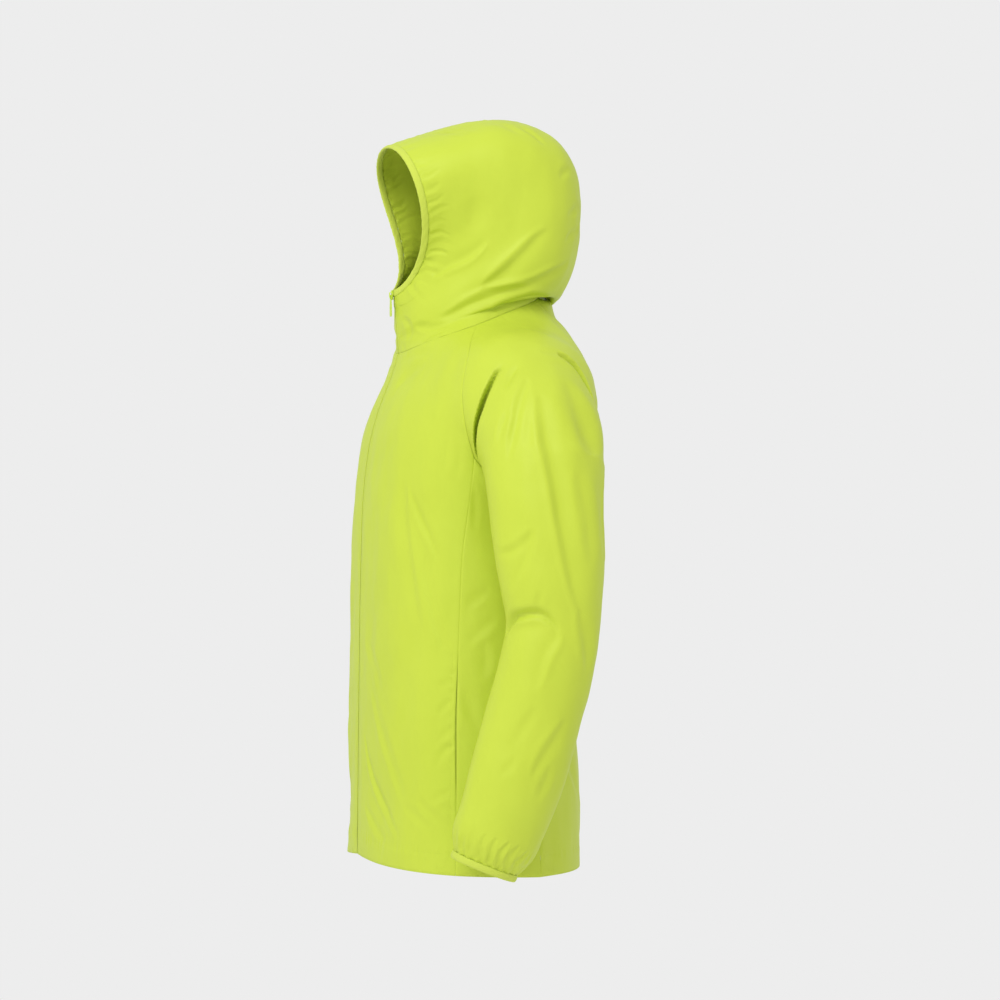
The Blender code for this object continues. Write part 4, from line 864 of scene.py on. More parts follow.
HOOD_CREASES = creases(
    # the deep valley over the neck seam, under the back's overhang
    (((73, -48, -1), (81, -35, 4), (91, -15, 15), (96, 9, 24), (98, 41, 32), (96, 60, 36)), 6.5,
      4.6, 0.9, 3, 0.6, -0.3),
    (((88, 14, 8), (93, 36, 18), (88, 63, 24), (69, 91, 27)), 6, 4.0, 1.0, -3),
    # folds that rise from the neck towards the back of the head
    (((94, 2, 35), (99, 21, 50), (104, 38, 65), (107, 54, 82), (107, 68, 97), (106, 81, 107)), 8,
      3.0, 0.8, 6, 0.4, -0.7),
    (((93, -2, 31), (99, 28, 33), (98, 60, 41), (93, 89, 55), (77, 115, 70)), 6, 2.6, 0.9, 3, 0.5,
      -0.5),
    (((57, -54, 51), (74, -36, 66), (84, -20, 73), (91, -7, 83), (96, 4, 94)), 6, 2.2, 0.9, -5,
      0.5, 0.5),
    (((100, -7, 148), (96, -10, 126), (89, -14, 104)), 11, 1.4, 1.2, 8),
    # soft creases in the collar
    (((20, -83, 1), (36, -77, -10), (30, -78, -27)), 4.5, 1.4, 0.8, 3),
    (((44, -73, -9), (63, -58, -13), (80, -42, -11)), 4.5, 1.6, 1.1, -2, 0.4, 0.4),
    (((65, -65, -28), (70, -57, -21), (83, -45, -16)), 4.5, 1.2, 0.9, 0),
    (((10, -84, -23), (42, -73, -17), (61, -60, -6)), 5, 1.1, 1.2, 2),
    # gathers along the elastic of the face opening
    (((83, -80, 186), (88, -70, 187), (86, -59, 197)), 3.0, 0.4, 1.2, -4, 0.35),
    (((88, -76, 168), (94, -66, 172), (95, -54, 182)), 2.6, 0.5, 0.8, 3, 0.35),
    (((87, -74, 151), (94, -61, 157), (96, -54, 164)), 3.4, 0.7, 1.1, -3, 0.35),
    (((84, -72, 135), (89, -66, 139), (93, -56, 142), (95, -46, 152)), 2.4, 0.6, 0.9, 2, 0.35),
    (((79, -70, 121), (85, -64, 126), (89, -52, 133), (91, -40, 136)), 3.2, 0.9, 1.0, 4, 0.35),
    (((74, -67, 110), (80, -61, 114), (82, -50, 118), (83, -42, 117)), 3.0, 0.5, 1.2, -3, 0.35),
    (((67, -65, 98), (72, -58, 102), (75, -49, 105), (78, -37, 100)), 2.6, 0.8, 0.8, 2, 0.35),
    (((61, -64, 87), (67, -57, 91), (72, -45, 93), (79, -31, 87)), 3.4, 0.6, 1.1, -2, 0.35),
    (((55, -64, 76), (61, -56, 81), (68, -44, 81), (78, -29, 73)), 2.4, 1.0, 0.9, 3, 0.35),
    (((48, -65, 66), (53, -58, 70), (63, -48, 68), (72, -38, 61)), 3.2, 0.5, 1.0, -2, 0.35),
    (((43, -68, 56), (50, -61, 59), (61, -50, 55), (75, -36, 48)), 3.0, 0.8, 1.2, 2, 0.35),
    (((36, -72, 46), (43, -66, 46), (57, -57, 42), (70, -45, 34)), 2.6, 0.4, 0.8, 0, 0.35),
    (((27, -77, 38), (33, -73, 37), (47, -67, 27), (61, -60, 14)), 3.4, 0.7, 1.1, 0, 0.35),
    # short puckers over the crown and down the back
    (((36, -43, 232), (56, -29, 231), (74, -15, 227)), 5, 1.2, 0.8, -2, 0.4),
    (((40, -7, 243), (63, -4, 238), (80, 4, 231)), 5, 1.3, 1.1, 0, 0.4),
    (((50, 28, 246), (66, 33, 241), (85, 51, 227)), 5, 1.2, 0.9, 0, 0.4),
    (((58, 58, 242), (70, 61, 236), (78, 72, 228), (86, 83, 216)), 4.5, 1.9, 0.8, 0, 0.4),
    (((76, 118, 186), (86, 109, 182), (96, 100, 174)), 4.5, 2.2, 0.9, -4, 0.5),
    (((66, 134, 138), (77, 128, 138), (85, 120, 132), (94, 110, 127)), 4.5, 1.8, 1.0, 5, 0.4),
    (((66, 132, 110), (76, 125, 108), (87, 116, 102), (91, 108, 94)), 4.5, 1.7, 0.8, -6, 0.4),
    (((20, 140, 150), (40, 140, 130), (60, 134, 96)), 8, 1.6, 0.8, -6),
)

# Uneven gathers where the elastic draws the cloth in, and beside the plain seams
SEAM_PUCKERS = Puckers(*ANYWHERE, pitch=17, depth=0.35, reach=9)
POCKET_PUCKERS = Puckers((150, -110, -616), (215, -30, -400), pitch=15, depth=0.45, reach=17)
CUFF_PUCKERS = Puckers((200, -120, -690), (340, 60, -606), pitch=8, depth=0.5, reach=13)
RIM_PUCKERS = Puckers((20, -140, 20), (130, 10, 235), pitch=9.5, depth=0.3, reach=9)
CROWN_PUCKERS = Puckers((-5, -70, 60), (60, 180, 270), pitch=13, depth=0.8, reach=16)


def on_hem(place: Vector) -> bool:
    """Whether a place on a border is on the hem."""
    return place.z < -0.657


def on_crown_seam(place: Vector) -> bool:
    """Whether a place on a hood's border is on the seam over the crown and down the back."""
    return abs(place.x) < 1.2 * MM and (place.z > 0.2 or place.y > 0.0)


def on_zip_edge(place: Vector) -> bool:
    """Whether a place on a border is beside the zip."""
    return abs(place.x) < 3 * MM and place.y < -0.05 and place.z < 0.05


def on_pocket_slit(place: Vector) -> bool:
    """Whether a place on a front's border is at the pocket's slit."""
    return abs(place.x) > 0.165 and -0.612 < place.z < -0.405


# Visible rows of stitching, in millimetres
SEWN_ROWS = (
    SewnRow(
        ("front", "side", "back"), on_hem, distance=25.0, dip=0.45, pitch=11, depth=0.35, reach=9,
        step=0.35,
    ),
    SewnRow(("hood",), on_crown_seam, distance=3.5, dip=0.35, pitch=12, depth=0.3, reach=6),
    SewnRow(("front", "hood"), on_zip_edge, distance=6.0, dip=0.3, pitch=15, depth=0.12, reach=6),
    SewnRow(
        ("front",), on_pocket_slit, distance=6.5, dip=0.4, pitch=12, depth=0.25, reach=6, step=0.3
    ),
)


# ---------------------------------------------------------------- cloth


NARROW_FACE = 1.75 * MM  # a solid's cut edges are narrower than this, its two faces wider
ROW_ZONE = 2.6 * MM  # faces whose middle is this near a row of stitching are divided
ROW_EDGE = 2.2 * MM  # along their edges longer than this
HELD_EDGE = 4 * MM  # creases fade in over this, so that the seams stay closed
CALM_EDGE = 22 * MM  # rumples fade in over this
SEAM_GROOVE = 2.2 * MM  # how wide the dip along a seam is
BAG_EDGE = 25 * MM  # a pocket bag falls back over this from its seam
DIAGONAL = 0.93  # a joined edge's least length, as a share of the longest in its triangles


@dataclass
class ClothPanel:
    """A sewn panel: a thin shell on the outer face of its solid, with its own folds."""

    node: str
    side: Side | None
    flat: tuple[float, float]
    area: float
    hollow: tuple[Point, ...]
    creases: tuple[Crease, ...] = ()
    puckers: tuple[Puckers, ...] = (SEAM_PUCKERS,)
    levels: int = 3
    thickness: float = 0.5 * MM
    seam_dip: float = 0.3 * MM
    turn: tuple[tuple[float, float], ...] = ((0.16 * MM, 0.12 * MM), (0.05 * MM, 1.1 * MM))
    rumples: tuple[Rumple, ...] = (Rumple(2.0, 52, 110), Rumple(0.45, 26, 40, 7.0))
    held: str = "stretched"
    rests_on: tuple[str, ...] = ()
    sink: float = 0.0  # how far a bag hangs back from the panel before it
    finish: Finish = SHELL
    slot: str = "shell_cloth"
    piece: bpy.types.Object | None = field(default=None, init=False)
    border: Border | None = field(default=None, init=False)
    lines: list[np.ndarray] = field(default_factory=list, init=False)

    def take(self, nodes: dict[str, bpy.types.Object]) -> None:
        """Takes the outer face of the panel's solid.

        Args:
            nodes: the CAD nodes by name.
        """
        self.piece = link_mesh(f"{self.node}_cloth", self._outer_face(nodes[self.node].data))
        self.border = Border.of(self.piece.data)

    def hold(self, kept: Callable[[Vector], bool]) -> None:
        """Holds some of the border's points while the rest is rounded.

        Args:
            kept: says whether a point on the border stays where it is.
        """
        with opened(self.piece.data) as work:
            sharp = work.verts.layers.float.new("crease_vert")
            for vertex in work.verts:
                vertex[sharp] = 1.0 if vertex.is_boundary and kept(vertex.co) else 0.0

    def build(self, rows: Sequence[SewnRow]) -> bpy.types.Object:
        """Refines and folds the panel, turns its edges in and gives it its thickness.

        Args:
            rows: the rows of stitching that may cross it.

        Returns:
            The finished panel.
        """
        piece = self.piece
        subdivide(piece, self.levels)
        self.border = Border.of(piece.data)
        drawn = [
            (row, line)
            for row in rows
            if self.node.split("_")[0] in row.pieces
            for line in self.border.rows(row.wanted, row.distance * MM)
        ]
        self._refine_beside([line for _, line in drawn])
        self._fold(piece.data, drawn)
        self.lines = [line for _, line in drawn]
        self._turn_edges(piece.data)
        self._lay_out(piece.data)
        wall = piece.modifiers.new("wall", "SOLIDIFY")
        wall.thickness = self.thickness
        wall.offset = -1.0
        apply_modifiers(piece)
        piece.data.shade_smooth()
        paint(piece.data, self.finish)
        LOG.info("%s: %d faces", piece.name, len(piece.data.polygons))
        return piece

    def _refine_beside(self, lines: Sequence[np.ndarray]) -> None:
        """Divides the faces beside the rows of stitching, so that the rows can be pressed in."""
        if not lines:
            return
        tree = grow_tree(np.concatenate(lines))
        with opened(self.piece.data) as work:
            near = [f for f in work.faces if tree.find(f.calc_center_median())[2] < ROW_ZONE]
            inner = {e for f in near for e in f.edges if not e.is_boundary}
            edges = {e for e in inner if e.calc_length() > ROW_EDGE}
            bmesh.ops.subdivide_edges(work, edges=list(edges), cuts=1, use_grid_fill=True)
            bmesh.ops.triangulate(work, faces=[f for f in work.faces if len(f.verts) > 4])

    def dress(self, with_pieces: Sequence[bpy.types.Object] = ()) -> None:
        """Rides the panel on the jacket's body, and hides the solid that it was cut from.

        Args:
            with_pieces: the separate pieces sewn to it; not used.
        """
        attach(self.piece, "jacket")
        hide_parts(self.node)
        list(self.rests_on)

    def _outer_face(self, solid: bpy.types.Mesh) -> bpy.types.Mesh:
        """Takes the outer face of a thin solid as an open sheet of quads.

        Args:
            solid: the closed wall, with an outer face, an inner face and narrow cut edges.

        Returns:
            A mesh of the outer face.
        """
        sheet = bpy.data.meshes.new(self.node)
        with opened(solid, keep=False) as work:
            bmesh.ops.remove_doubles(work, verts=work.verts, dist=WELD)
            narrow = [f for f in work.faces if min(e.calc_length() for e in f.edges) < NARROW_FACE]
            bmesh.ops.delete(work, geom=narrow, context="FACES")
            kept = set(max(islands(work), key=self._outwardness))
            rest = [f for f in work.faces if f not in kept]
            bmesh.ops.delete(work, geom=rest, context="FACES")
            join_halves(work)
            work.to_mesh(sheet)
        return sheet

    def _hollow_line(self) -> np.ndarray:
        """The line down the hollow that the panel goes round, in metres."""
        sign = -1 if self.side is Side.RIGHT else 1
        return np.array(self.hollow) * (sign * MM, MM, MM)

    def _outwardness(self, faces: Iterable[bmesh.types.BMFace]) -> float:
        """How much faces look away from the hollow, by area."""
        line = self._hollow_line()
        steps = np.linspace(line[:-1], line[1:], 9).reshape(-1, 3)
        total = 0.0
        for face in faces:
            centre = face.calc_center_median()
            inner = Vector(steps[np.argmin(np.linalg.norm(steps - np.array(centre), axis=1))])
            total += face.calc_area() * (centre - inner).normalized().dot(face.normal)
        return total

    def _fold(self, sheet: bpy.types.Mesh, drawn: Sequence[tuple[SewnRow, np.ndarray]]) -> None:
        """Pushes the folds, the gathers, the rows and the seams' dips into the sheet."""
        points, normals = coordinates(sheet), vertex_normals(sheet)
        surface = BVHTree.FromPolygons(
            points.tolist(), [list(face.vertices) for face in sheet.polygons]
        )
        far, along = self.border.measure(points)
        held = smooth_step(far / HELD_EDGE)
        push = np.zeros(len(points))
        folded = points.copy()
        sides = (Side.LEFT, Side.RIGHT) if self.side is None else (self.side,)
        for side in sides:
            for crease in self.creases:
                folded += held[:, None] * crease.push(points, normals, side, surface)
            for puckers in self.puckers:
                push += puckers.push(points, far, along, side.value) / len(sides)
        for rumple in self.rumples:
            push += smooth_step(far / CALM_EDGE) * rumple.push(points)
        for row, line in drawn:
            push += row.push(points, line, far)
        push -= self.seam_dip * np.exp(-((far / SEAM_GROOVE) ** 2))
        if self.sink:
            away = np.abs(points[:, 0]).max() - np.abs(points[:, 0])
            folded[:, 1] += self.sink * smooth_step(away / BAG_EDGE)
        set_coordinates(sheet, folded + push[:, None] * normals)

    def _turn_edges(self, sheet: bpy.types.Mesh) -> None:
        """Turns the border in, as a seam allowance or a hem is, so that no light shows through."""
        with opened(sheet) as work:
            work.normal_update()
            for out, down in self.turn:
                edges = [edge for edge in work.edges if edge.is_boundary]
                ways = {}
                for edge in edges:
                    for vertex in edge.verts:
                        ways.setdefault(vertex, [Vector(), vertex.normal.copy()])
                        ways[vertex][0] -= edge_inward(edge)
                made = bmesh.ops.extrude_edge_only(work, edges=edges)["geom"]
                for vertex in (part for part in made if isinstance(part, bmesh.types.BMVert)):
                    others = (edge.other_vert(vertex) for edge in vertex.link_edges)
                    old = next(other for other in others if other in ways)
                    way, normal = ways[old]
                    vertex.co = old.co + way.normalized() * out - normal * down
            bmesh.ops.recalc_face_normals(work, faces=work.faces)

    def _lay_out(self, sheet: bpy.types.Mesh) -> None:
        """Gives the cloth a UV map in metres, unrolled about its hollow."""
        line = self._hollow_line()
        axis = (line[-1] - line[0]) / np.linalg.norm(line[-1] - line[0])
        across = np.cross(axis, (0.0, 1.0, 0.0))
        across /= np.linalg.norm(across)
        ahead = np.cross(across, axis)
        local = coordinates(sheet) - line[0]
        turn = np.arctan2(local @ across, local @ ahead)
        radius = float(np.median(np.hypot(local @ across, local @ ahead)))
        corners = corner_vertices(sheet)
        starts = np.array([face.loop_start for face in sheet.polygons])
        sizes = np.array([face.loop_total for face in sheet.polygons])
        first = np.repeat(turn[corners[starts]], sizes)
        turns = turn[corners]
        turns = turns - math.tau * np.round((turns - first) / math.tau)
        store_map(sheet, np.stack([turns * radius, (local @ axis)[corners]], axis=1))


def sharp_corners(sheet: bpy.types.Mesh, turn: float = 35.0) -> list[Vector]:
    """The points of an open mesh's border where it turns by more than an angle in degrees."""
    corners = []
    with opened(sheet, keep=False) as work:
        for vertex in work.verts:
            ends = [edge.other_vert(vertex).co for edge in vertex.link_edges if edge.is_boundary]
            if len(ends) != 2:
                continue
            if (ends[0] - vertex.co).angle(vertex.co - ends[1]) > math.radians(turn):
                corners.append(vertex.co.copy())
    return corners


def join_halves(work: bmesh.types.BMesh) -> None:
    """Joins pairs of triangles over their longest edge, back to the grid they were cut from."""
    pairs = []
    for edge in work.edges:
        if len(edge.link_faces) != 2 or any(len(face.verts) != 3 for face in edge.link_faces):
            continue
        longest = max(near.calc_length() for face in edge.link_faces for near in face.edges)
        if edge.calc_length() > DIAGONAL * longest:
            corners = [loop.link_loop_prev.calc_angle() for loop in edge.link_loops]
            slant = sum(abs(angle - math.pi / 2) for angle in corners)
            pairs.append((slant, edge.index, edge))
    used, chosen = set(), []
    for _, _, edge in sorted(pairs, key=lambda pair: pair[:2]):
        if not used.intersection(edge.link_faces):
            used.update(edge.link_faces)
            chosen.append(edge)
    bmesh.ops.dissolve_edges(work, edges=chosen, use_verts=False, use_face_split=False)


def islands(work: bmesh.types.BMesh) -> list[list[bmesh.types.BMFace]]:
    """The faces of a mesh, in one list for each of its separate parts."""
    found, seen = [], set()
    for start in work.faces:
        if start in seen:
            continue
        seen.add(start)
        group, waiting = [], [start]
        while waiting:
            face = waiting.pop()
            group.append(face)
            for edge in face.edges:
                for near in edge.link_faces:
                    if near not in seen:
                        seen.add(near)
                        waiting.append(near)
        found.append(group)
    return found


@dataclass
class Binding:
    """A folded elastic tape bound over a cloth edge."""

    node: str
    ribs_along: float = 2.6 * MM
    rib_depth: float = 0.22 * MM
    swell: float = 0.5 * MM  # so that the tape laps over the cloth's edge
    levels: int = 2

    def build(self, nodes: dict[str, bpy.types.Object]) -> bpy.types.Object:
        """Builds the binding as a rounded band with gathers across it.

        Args:
            nodes: the CAD nodes by name.

        Returns:
            The finished binding.
        """
        mesh = bpy.data.meshes.new(self.node)
        with opened(nodes[self.node].data, keep=False) as work:
            bmesh.ops.remove_doubles(work, verts=work.verts, dist=WELD)
            bmesh.ops.join_triangles(
                work, faces=work.faces, angle_face_threshold=0.6, angle_shape_threshold=math.pi
            )
            work.to_mesh(mesh)
        piece = link_mesh(f"{self.node}_elastic", mesh)
        subdivide(piece, self.levels)
        points, normals = coordinates(mesh), vertex_normals(mesh)
        centre = (points.min(axis=0) + points.max(axis=0)) / 2
        turn = np.arctan2(points[:, 1] - centre[1], points[:, 0] - centre[0])
        if self.node == "hood_binding":  # both its sides alike, by their height
            turn = np.arctan2(points[:, 2] - centre[2], np.abs(points[:, 0]) + 0.02)
        size = float(np.median(np.linalg.norm(points - centre, axis=1)))
        phase = turn * size * math.tau / self.ribs_along
        push = self.swell + self.rib_depth * wander(phase, 0.8, 0.3)
        set_coordinates(mesh, points + push[:, None] * normals)
        mesh.shade_smooth()
        flat = np.stack([turn * size, points[:, 2]], axis=1)
        store_map(mesh, flat[corner_vertices(mesh)])
        paint(mesh, ELASTIC)
        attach(piece, "jacket")
        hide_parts(self.node)
        LOG.info("%s: %d faces", piece.name, len(mesh.polygons))
        return piece


# ---------------------------------------------------------------- zip

# Edges that turn by more degrees than this are rounded, and shown sharp
ROUNDED_ANGLE, SHARP_ANGLE = 35, 38
# How wide each part's rounding is
PLATE_ROUND, BAIL_ROUND, SLIDER_ROUND, TAB_ROUND = 0.5 * MM, 0.7 * MM, 0.25 * MM, 0.28 * MM


def add_block(name: str, size: Point, centre: Point) -> bpy.types.Object:
    """Adds a block of a size at a place, its scale and place in its mesh.

    Args:
        name: the object's name.
        size: its full sizes, in metres.
        centre: its middle, in metres.

    Returns:
        The new object, active and selected.
    """
    deselect_all()
    bpy.ops.mesh.primitive_cube_add(size=1.0, location=centre, scale=size)
    piece = bpy.context.object
    piece.name = name
    bpy.ops.object.transform_apply(location=True, rotation=True, scale=True)
    return piece


def add_rod(
    radius: float, length: float, sides: int = 6, middle: float = 0.0
) -> bpy.types.Object:
    """Adds a rod along X, its place in its mesh.

    Args:
        radius: its radius, in metres.
        length: its length, in metres.
        sides: the number of its sides.
        middle: how far its middle lies along X.

    Returns:
        The new object, active and selected.
    """
    deselect_all()
    bpy.ops.mesh.primitive_cylinder_add(
        vertices=sides,
        radius=radius,
        depth=length,
        location=(middle, 0, 0),
        rotation=(0, math.pi / 2, 0),
    )
    rod = bpy.context.object
    bpy.ops.object.transform_apply(location=True, rotation=True, scale=True)
    return rod


@contextmanager
def edit_mode(piece: bpy.types.Object) -> Iterator[None]:
    """Puts a piece in edit mode for a while, and leaves nothing selected in it."""
    make_active(piece)
    bpy.ops.object.mode_set(mode="EDIT")
    yield
    bpy.ops.mesh.select_all(action="DESELECT")
    bpy.ops.object.mode_set(mode="OBJECT")


def soften(piece: bpy.types.Object, width: float, segments: int = 3) -> None:
    """Rounds a piece's sharp edges.

    Args:
        piece: the piece.
        width: how wide the rounding is, in metres.
        segments: its number of steps.
    """
    round_over = piece.modifiers.new("round over", "BEVEL")
    round_over.width = width
    round_over.segments = segments
    round_over.limit_method = "ANGLE"
    round_over.angle_limit = math.radians(ROUNDED_ANGLE)
    apply_modifiers(piece)


def select_faces(piece: bpy.types.Object, test: Callable[[Vector, Vector], bool]) -> None:
    """Selects a piece's faces by their middle and normal, in edit mode.

    Args:
        piece: the piece, in edit mode.
        test: says whether a face with that middle and normal is wanted.
    """
    bpy.ops.mesh.select_mode(type="FACE")
    bpy.ops.mesh.select_all(action="DESELECT")
    work = bmesh.from_edit_mesh(piece.data)
    for face in work.faces:
        if test(face.calc_center_median(), face.normal):
            face.select_set(True)
    bmesh.update_edit_mesh(piece.data)


def combine(piece: bpy.types.Object, tool: bpy.types.Object, operation: str) -> None:
    """Joins a tool to a piece, or cuts it out, and removes the tool.

    Args:
        piece: the piece that stays.
        tool: the other shape.
        operation: DIFFERENCE or UNION.
    """
    fit = piece.modifiers.new("fit", "BOOLEAN")
    fit.object = tool
    fit.operation = operation
    fit.solver = "EXACT"
    apply_modifiers(piece)
    bpy.data.objects.remove(tool)


def set_in_place(mesh: bpy.types.Mesh, place: Matrix) -> None:
    """Moves a sprayed part to its place, and smooths it between its sharp edges."""
    mesh.transform(place)
    mesh.shade_smooth()
    mesh.set_sharp_from_angle(angle=math.radians(SHARP_ANGLE))
    paint(mesh, SPRAYED)


@dataclass
class ZipSlider:
    """The sprayed slider, leaning with the collar, in its own frame: across, back, up."""

    plate: Point = (8.0 * MM, 1.2 * MM, 12.0 * MM)
    waist: float = 0.72  # a plate's width at its lower end, as a share
    front: float = 1.2 * MM
    back: float = 3.4 * MM
    neck: tuple[float, float] = (2.0 * MM, 4.0 * MM)
    neck_height: float = 3.6 * MM
    bail: Point = (1.6 * MM, 4.0 * MM, 7.1 * MM)
    bail_out: float = 1.2 * MM  # how far the bail's middle stands before the plate
    eye: Point = (4.0 * MM, 2.2 * MM, 5.1 * MM)
    eye_out: float = 1.1 * MM
    origin: Point = (0.0, -0.0895417, 0.0305)
    lean: float = 0.08314

    def build(self) -> bpy.types.Object:
        """Builds the slider's two plates, its neck and its bail.

        Returns:
            The finished slider.
        """
        thick = self.plate[1]
        body = add_block("zip_slider_body", self.plate, (0, -self.front - thick / 2, 0))
        self._narrow(body)
        rear = add_block("rear", self.plate, (0, self.back + thick / 2, 0))
        self._narrow(rear)
        wide, tall = self.neck
        neck = add_block(
            "neck",
            (wide, self.back + self.front + thick, tall),
            (0, (self.back - self.front) / 2, self.neck_height),
        )
        bail = add_block("bail", self.bail, (0, -self.front - thick - self.bail_out, 0))
        eye = add_block("eye", self.eye, (0, -self.front - thick - self.eye_out, 0))
        soften(bail, BAIL_ROUND)
        combine(bail, eye, "DIFFERENCE")
        for part in (rear, neck, bail):
            combine(body, part, "UNION")
        soften(body, SLIDER_ROUND, 2)
        lean = Matrix.Rotation(self.lean, 4, "X")
        set_in_place(body.data, Matrix.Translation(self.origin) @ lean)
        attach(body, "jacket")
        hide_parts("zip_slider")
        LOG.info("zip_slider_body: %d faces", len(body.data.polygons))
        return body

    def _narrow(self, plate: bpy.types.Object) -> None:
        """Narrows a plate to its lower end, as a slider's plates are."""
        with edit_mode(plate):
            select_faces(plate, lambda centre, normal: normal.z < -FACING)
            bpy.ops.transform.resize(value=(self.waist, 1.0, 1.0))
        soften(plate, PLATE_ROUND)


@dataclass
class PullTab:
    """The pull: a flat tab with a slot at its top, hung by a rod in the slider's bail."""

    plate: Point = (8.0 * MM, 1.2 * MM, 27.0 * MM)
    window: tuple[float, float] = (2.2 * MM, 4.9 * MM)
    above: float = 0.4 * MM  # how far the tab's top stands above the hinge
    waist: tuple[float, float] = (-6.5 * MM, -9.0 * MM)  # from where to where it is narrower
    waist_share: float = 0.74
    end_share: float = 0.84  # its width at its lower end
    grip: tuple[float, float] = (-13.0 * MM, -23.5 * MM)
    grip_rim: float = 1.1 * MM
    grip_depth: float = 0.22 * MM
    rod: float = 0.6 * MM
    hinge: Point = (0.0, -0.09302957, 0.03020934)

    def build(self) -> bpy.types.Object:
        """Builds the tab with its slot, a waist and a recessed grip.

        Returns:
            The finished pull.
        """
        across, thick, tall = self.plate
        tab = add_block("zip_pull_tab", self.plate, (0, 0, self.above - tall / 2))
        with edit_mode(tab):
            for height in (*self.waist, *self.grip):
                bpy.ops.mesh.select_all(action="SELECT")
                bpy.ops.mesh.bisect(plane_co=(0, 0, height), plane_no=(0, 0, 1))
            work = bmesh.from_edit_mesh(tab.data)
            for vertex in work.verts:
                if self.waist[1] - MM / 2 < vertex.co.z < self.waist[0] + MM / 2:
                    vertex.co.x *= self.waist_share
                if vertex.co.z < self.above - tall + MM / 2:
                    vertex.co.x *= self.end_share
            bmesh.update_edit_mesh(tab.data)
            top, low = self.grip
            select_faces(tab, lambda c, n: abs(n.y) > FACING and low < c.z < top)
            bpy.ops.mesh.inset(thickness=self.grip_rim, depth=-self.grip_depth)
        slot = add_block("slot", (self.window[0], 4 * thick, 2 * self.window[1]), (0, 0, 0))
        combine(tab, slot, "DIFFERENCE")
        soften(tab, TAB_ROUND, 2)
        combine(tab, add_rod(self.rod, across - 2 * self.rod, sides=20), "UNION")
        set_in_place(tab.data, Matrix.Translation(self.hinge))
        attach(tab, "pull_tab")
        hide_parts("zip_pull")
        LOG.info("zip_pull_tab: %d faces", len(tab.data.polygons))
        return tab


def scattered(
    name: str, pattern: bpy.types.Mesh, places: Sequence[Matrix], finish: Finish
) -> bpy.types.Object:
    """Copies one small mesh to many places, as one object.

    Args:
        name: the object's name.
        pattern: the mesh to copy.
        places: where each copy goes.
        finish: what it is made of.

    Returns:
        The new object.
    """
    base = coordinates(pattern)
    faces = [list(face.vertices) for face in pattern.polygons]
    points, polygons = [], []
    for number, place in enumerate(places):
        turn = np.array(place.to_3x3())
        points.append(base @ turn.T + np.array(place.translation))
        polygons += [[index + number * len(base) for index in face] for face in faces]
    mesh = bpy.data.meshes.new(name)
    mesh.from_pydata(np.concatenate(points).tolist(), [], polygons)
    mesh.shade_smooth()
    paint(mesh, finish)
    return link_mesh(name, mesh)


@dataclass
class ZipCoil:
    """The closed coil chain: monofilament loops from both tapes, meshed in the middle."""

    pitch: float = 0.78 * MM
    reach: float = 2.7 * MM
    past: float = 0.5 * MM  # how far a loop reaches past the middle
    filament: float = 0.42 * MM
    flat: float = 0.85  # a bar's radius, as a share of the filament's
    bead: tuple[float, float, float] = (0.25 * MM, 1.5, 0.9)  # length; width and height as shares
    start: float = 0.8  # how far up the first loop lies, in pitches
    inset: float = 0.75 * MM  # how far the middle lies behind the solid's front
    ring: float = 0.6 * MM  # corners of the solid within this height are of one ring

    def build(self, nodes: dict[str, bpy.types.Object]) -> bpy.types.Object:
        """Builds the chain along its solid.

        Args:
            nodes: the CAD nodes by name.

        Returns:
            The finished coil.
        """
        loop = self._loop()
        line = self._middle(nodes["zip_coil"].data)
        _, along = measured(line)
        places = []
        for number in range(int(along[-1] / self.pitch) - 1):
            at = (number + self.start) * self.pitch
            _, y, z = point_at(line, along, at)
            _, y_up, z_up = point_at(line, along, at + self.pitch)
            lean = Matrix.Rotation(math.atan2(-(y_up - y), z_up - z), 4, "X")
            turned = Matrix.Rotation(math.pi if number % 2 else 0.0, 4, "Z")
            places.append(Matrix.Translation((0, y, z)) @ lean @ turned)
        coil = scattered("zip_coil_chain", loop, places, COIL)
        bpy.data.meshes.remove(loop)
        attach(coil, "jacket")
        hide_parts("zip_coil")
        LOG.info("zip_coil_chain: %d loops", len(places))
        return coil

    def _loop(self) -> bpy.types.Mesh:
        """One loop of filament: a bar with a bead at its head, from the tape past the middle."""
        length, wide, high = self.bead
        loop = add_rod(
            self.filament * self.flat, self.reach + self.past, middle=(self.reach - self.past) / 2
        )
        with edit_mode(loop):
            select_faces(loop, lambda centre, normal: normal.x < -FACING)
            bpy.ops.mesh.extrude_region_move(TRANSFORM_OT_translate={"value": (-length, 0, 0)})
            bpy.ops.transform.resize(value=(1.0, wide, high))
        mesh = loop.data
        bpy.data.objects.remove(loop)
        return mesh

    def _middle(self, solid: bpy.types.Mesh) -> np.ndarray:
        """The middle line of the coil's solid, from the hem up."""
        points = coordinates(solid)
        rows = []
        for height in np.unique(np.round(points[:, 2], 4)):
            near = points[np.abs(points[:, 2] - height) < self.ring]
            rows.append((0.0, near[:, 1].min() + self.inset, height))
        return np.array(rows)


# ---------------------------------------------------------------- sewing


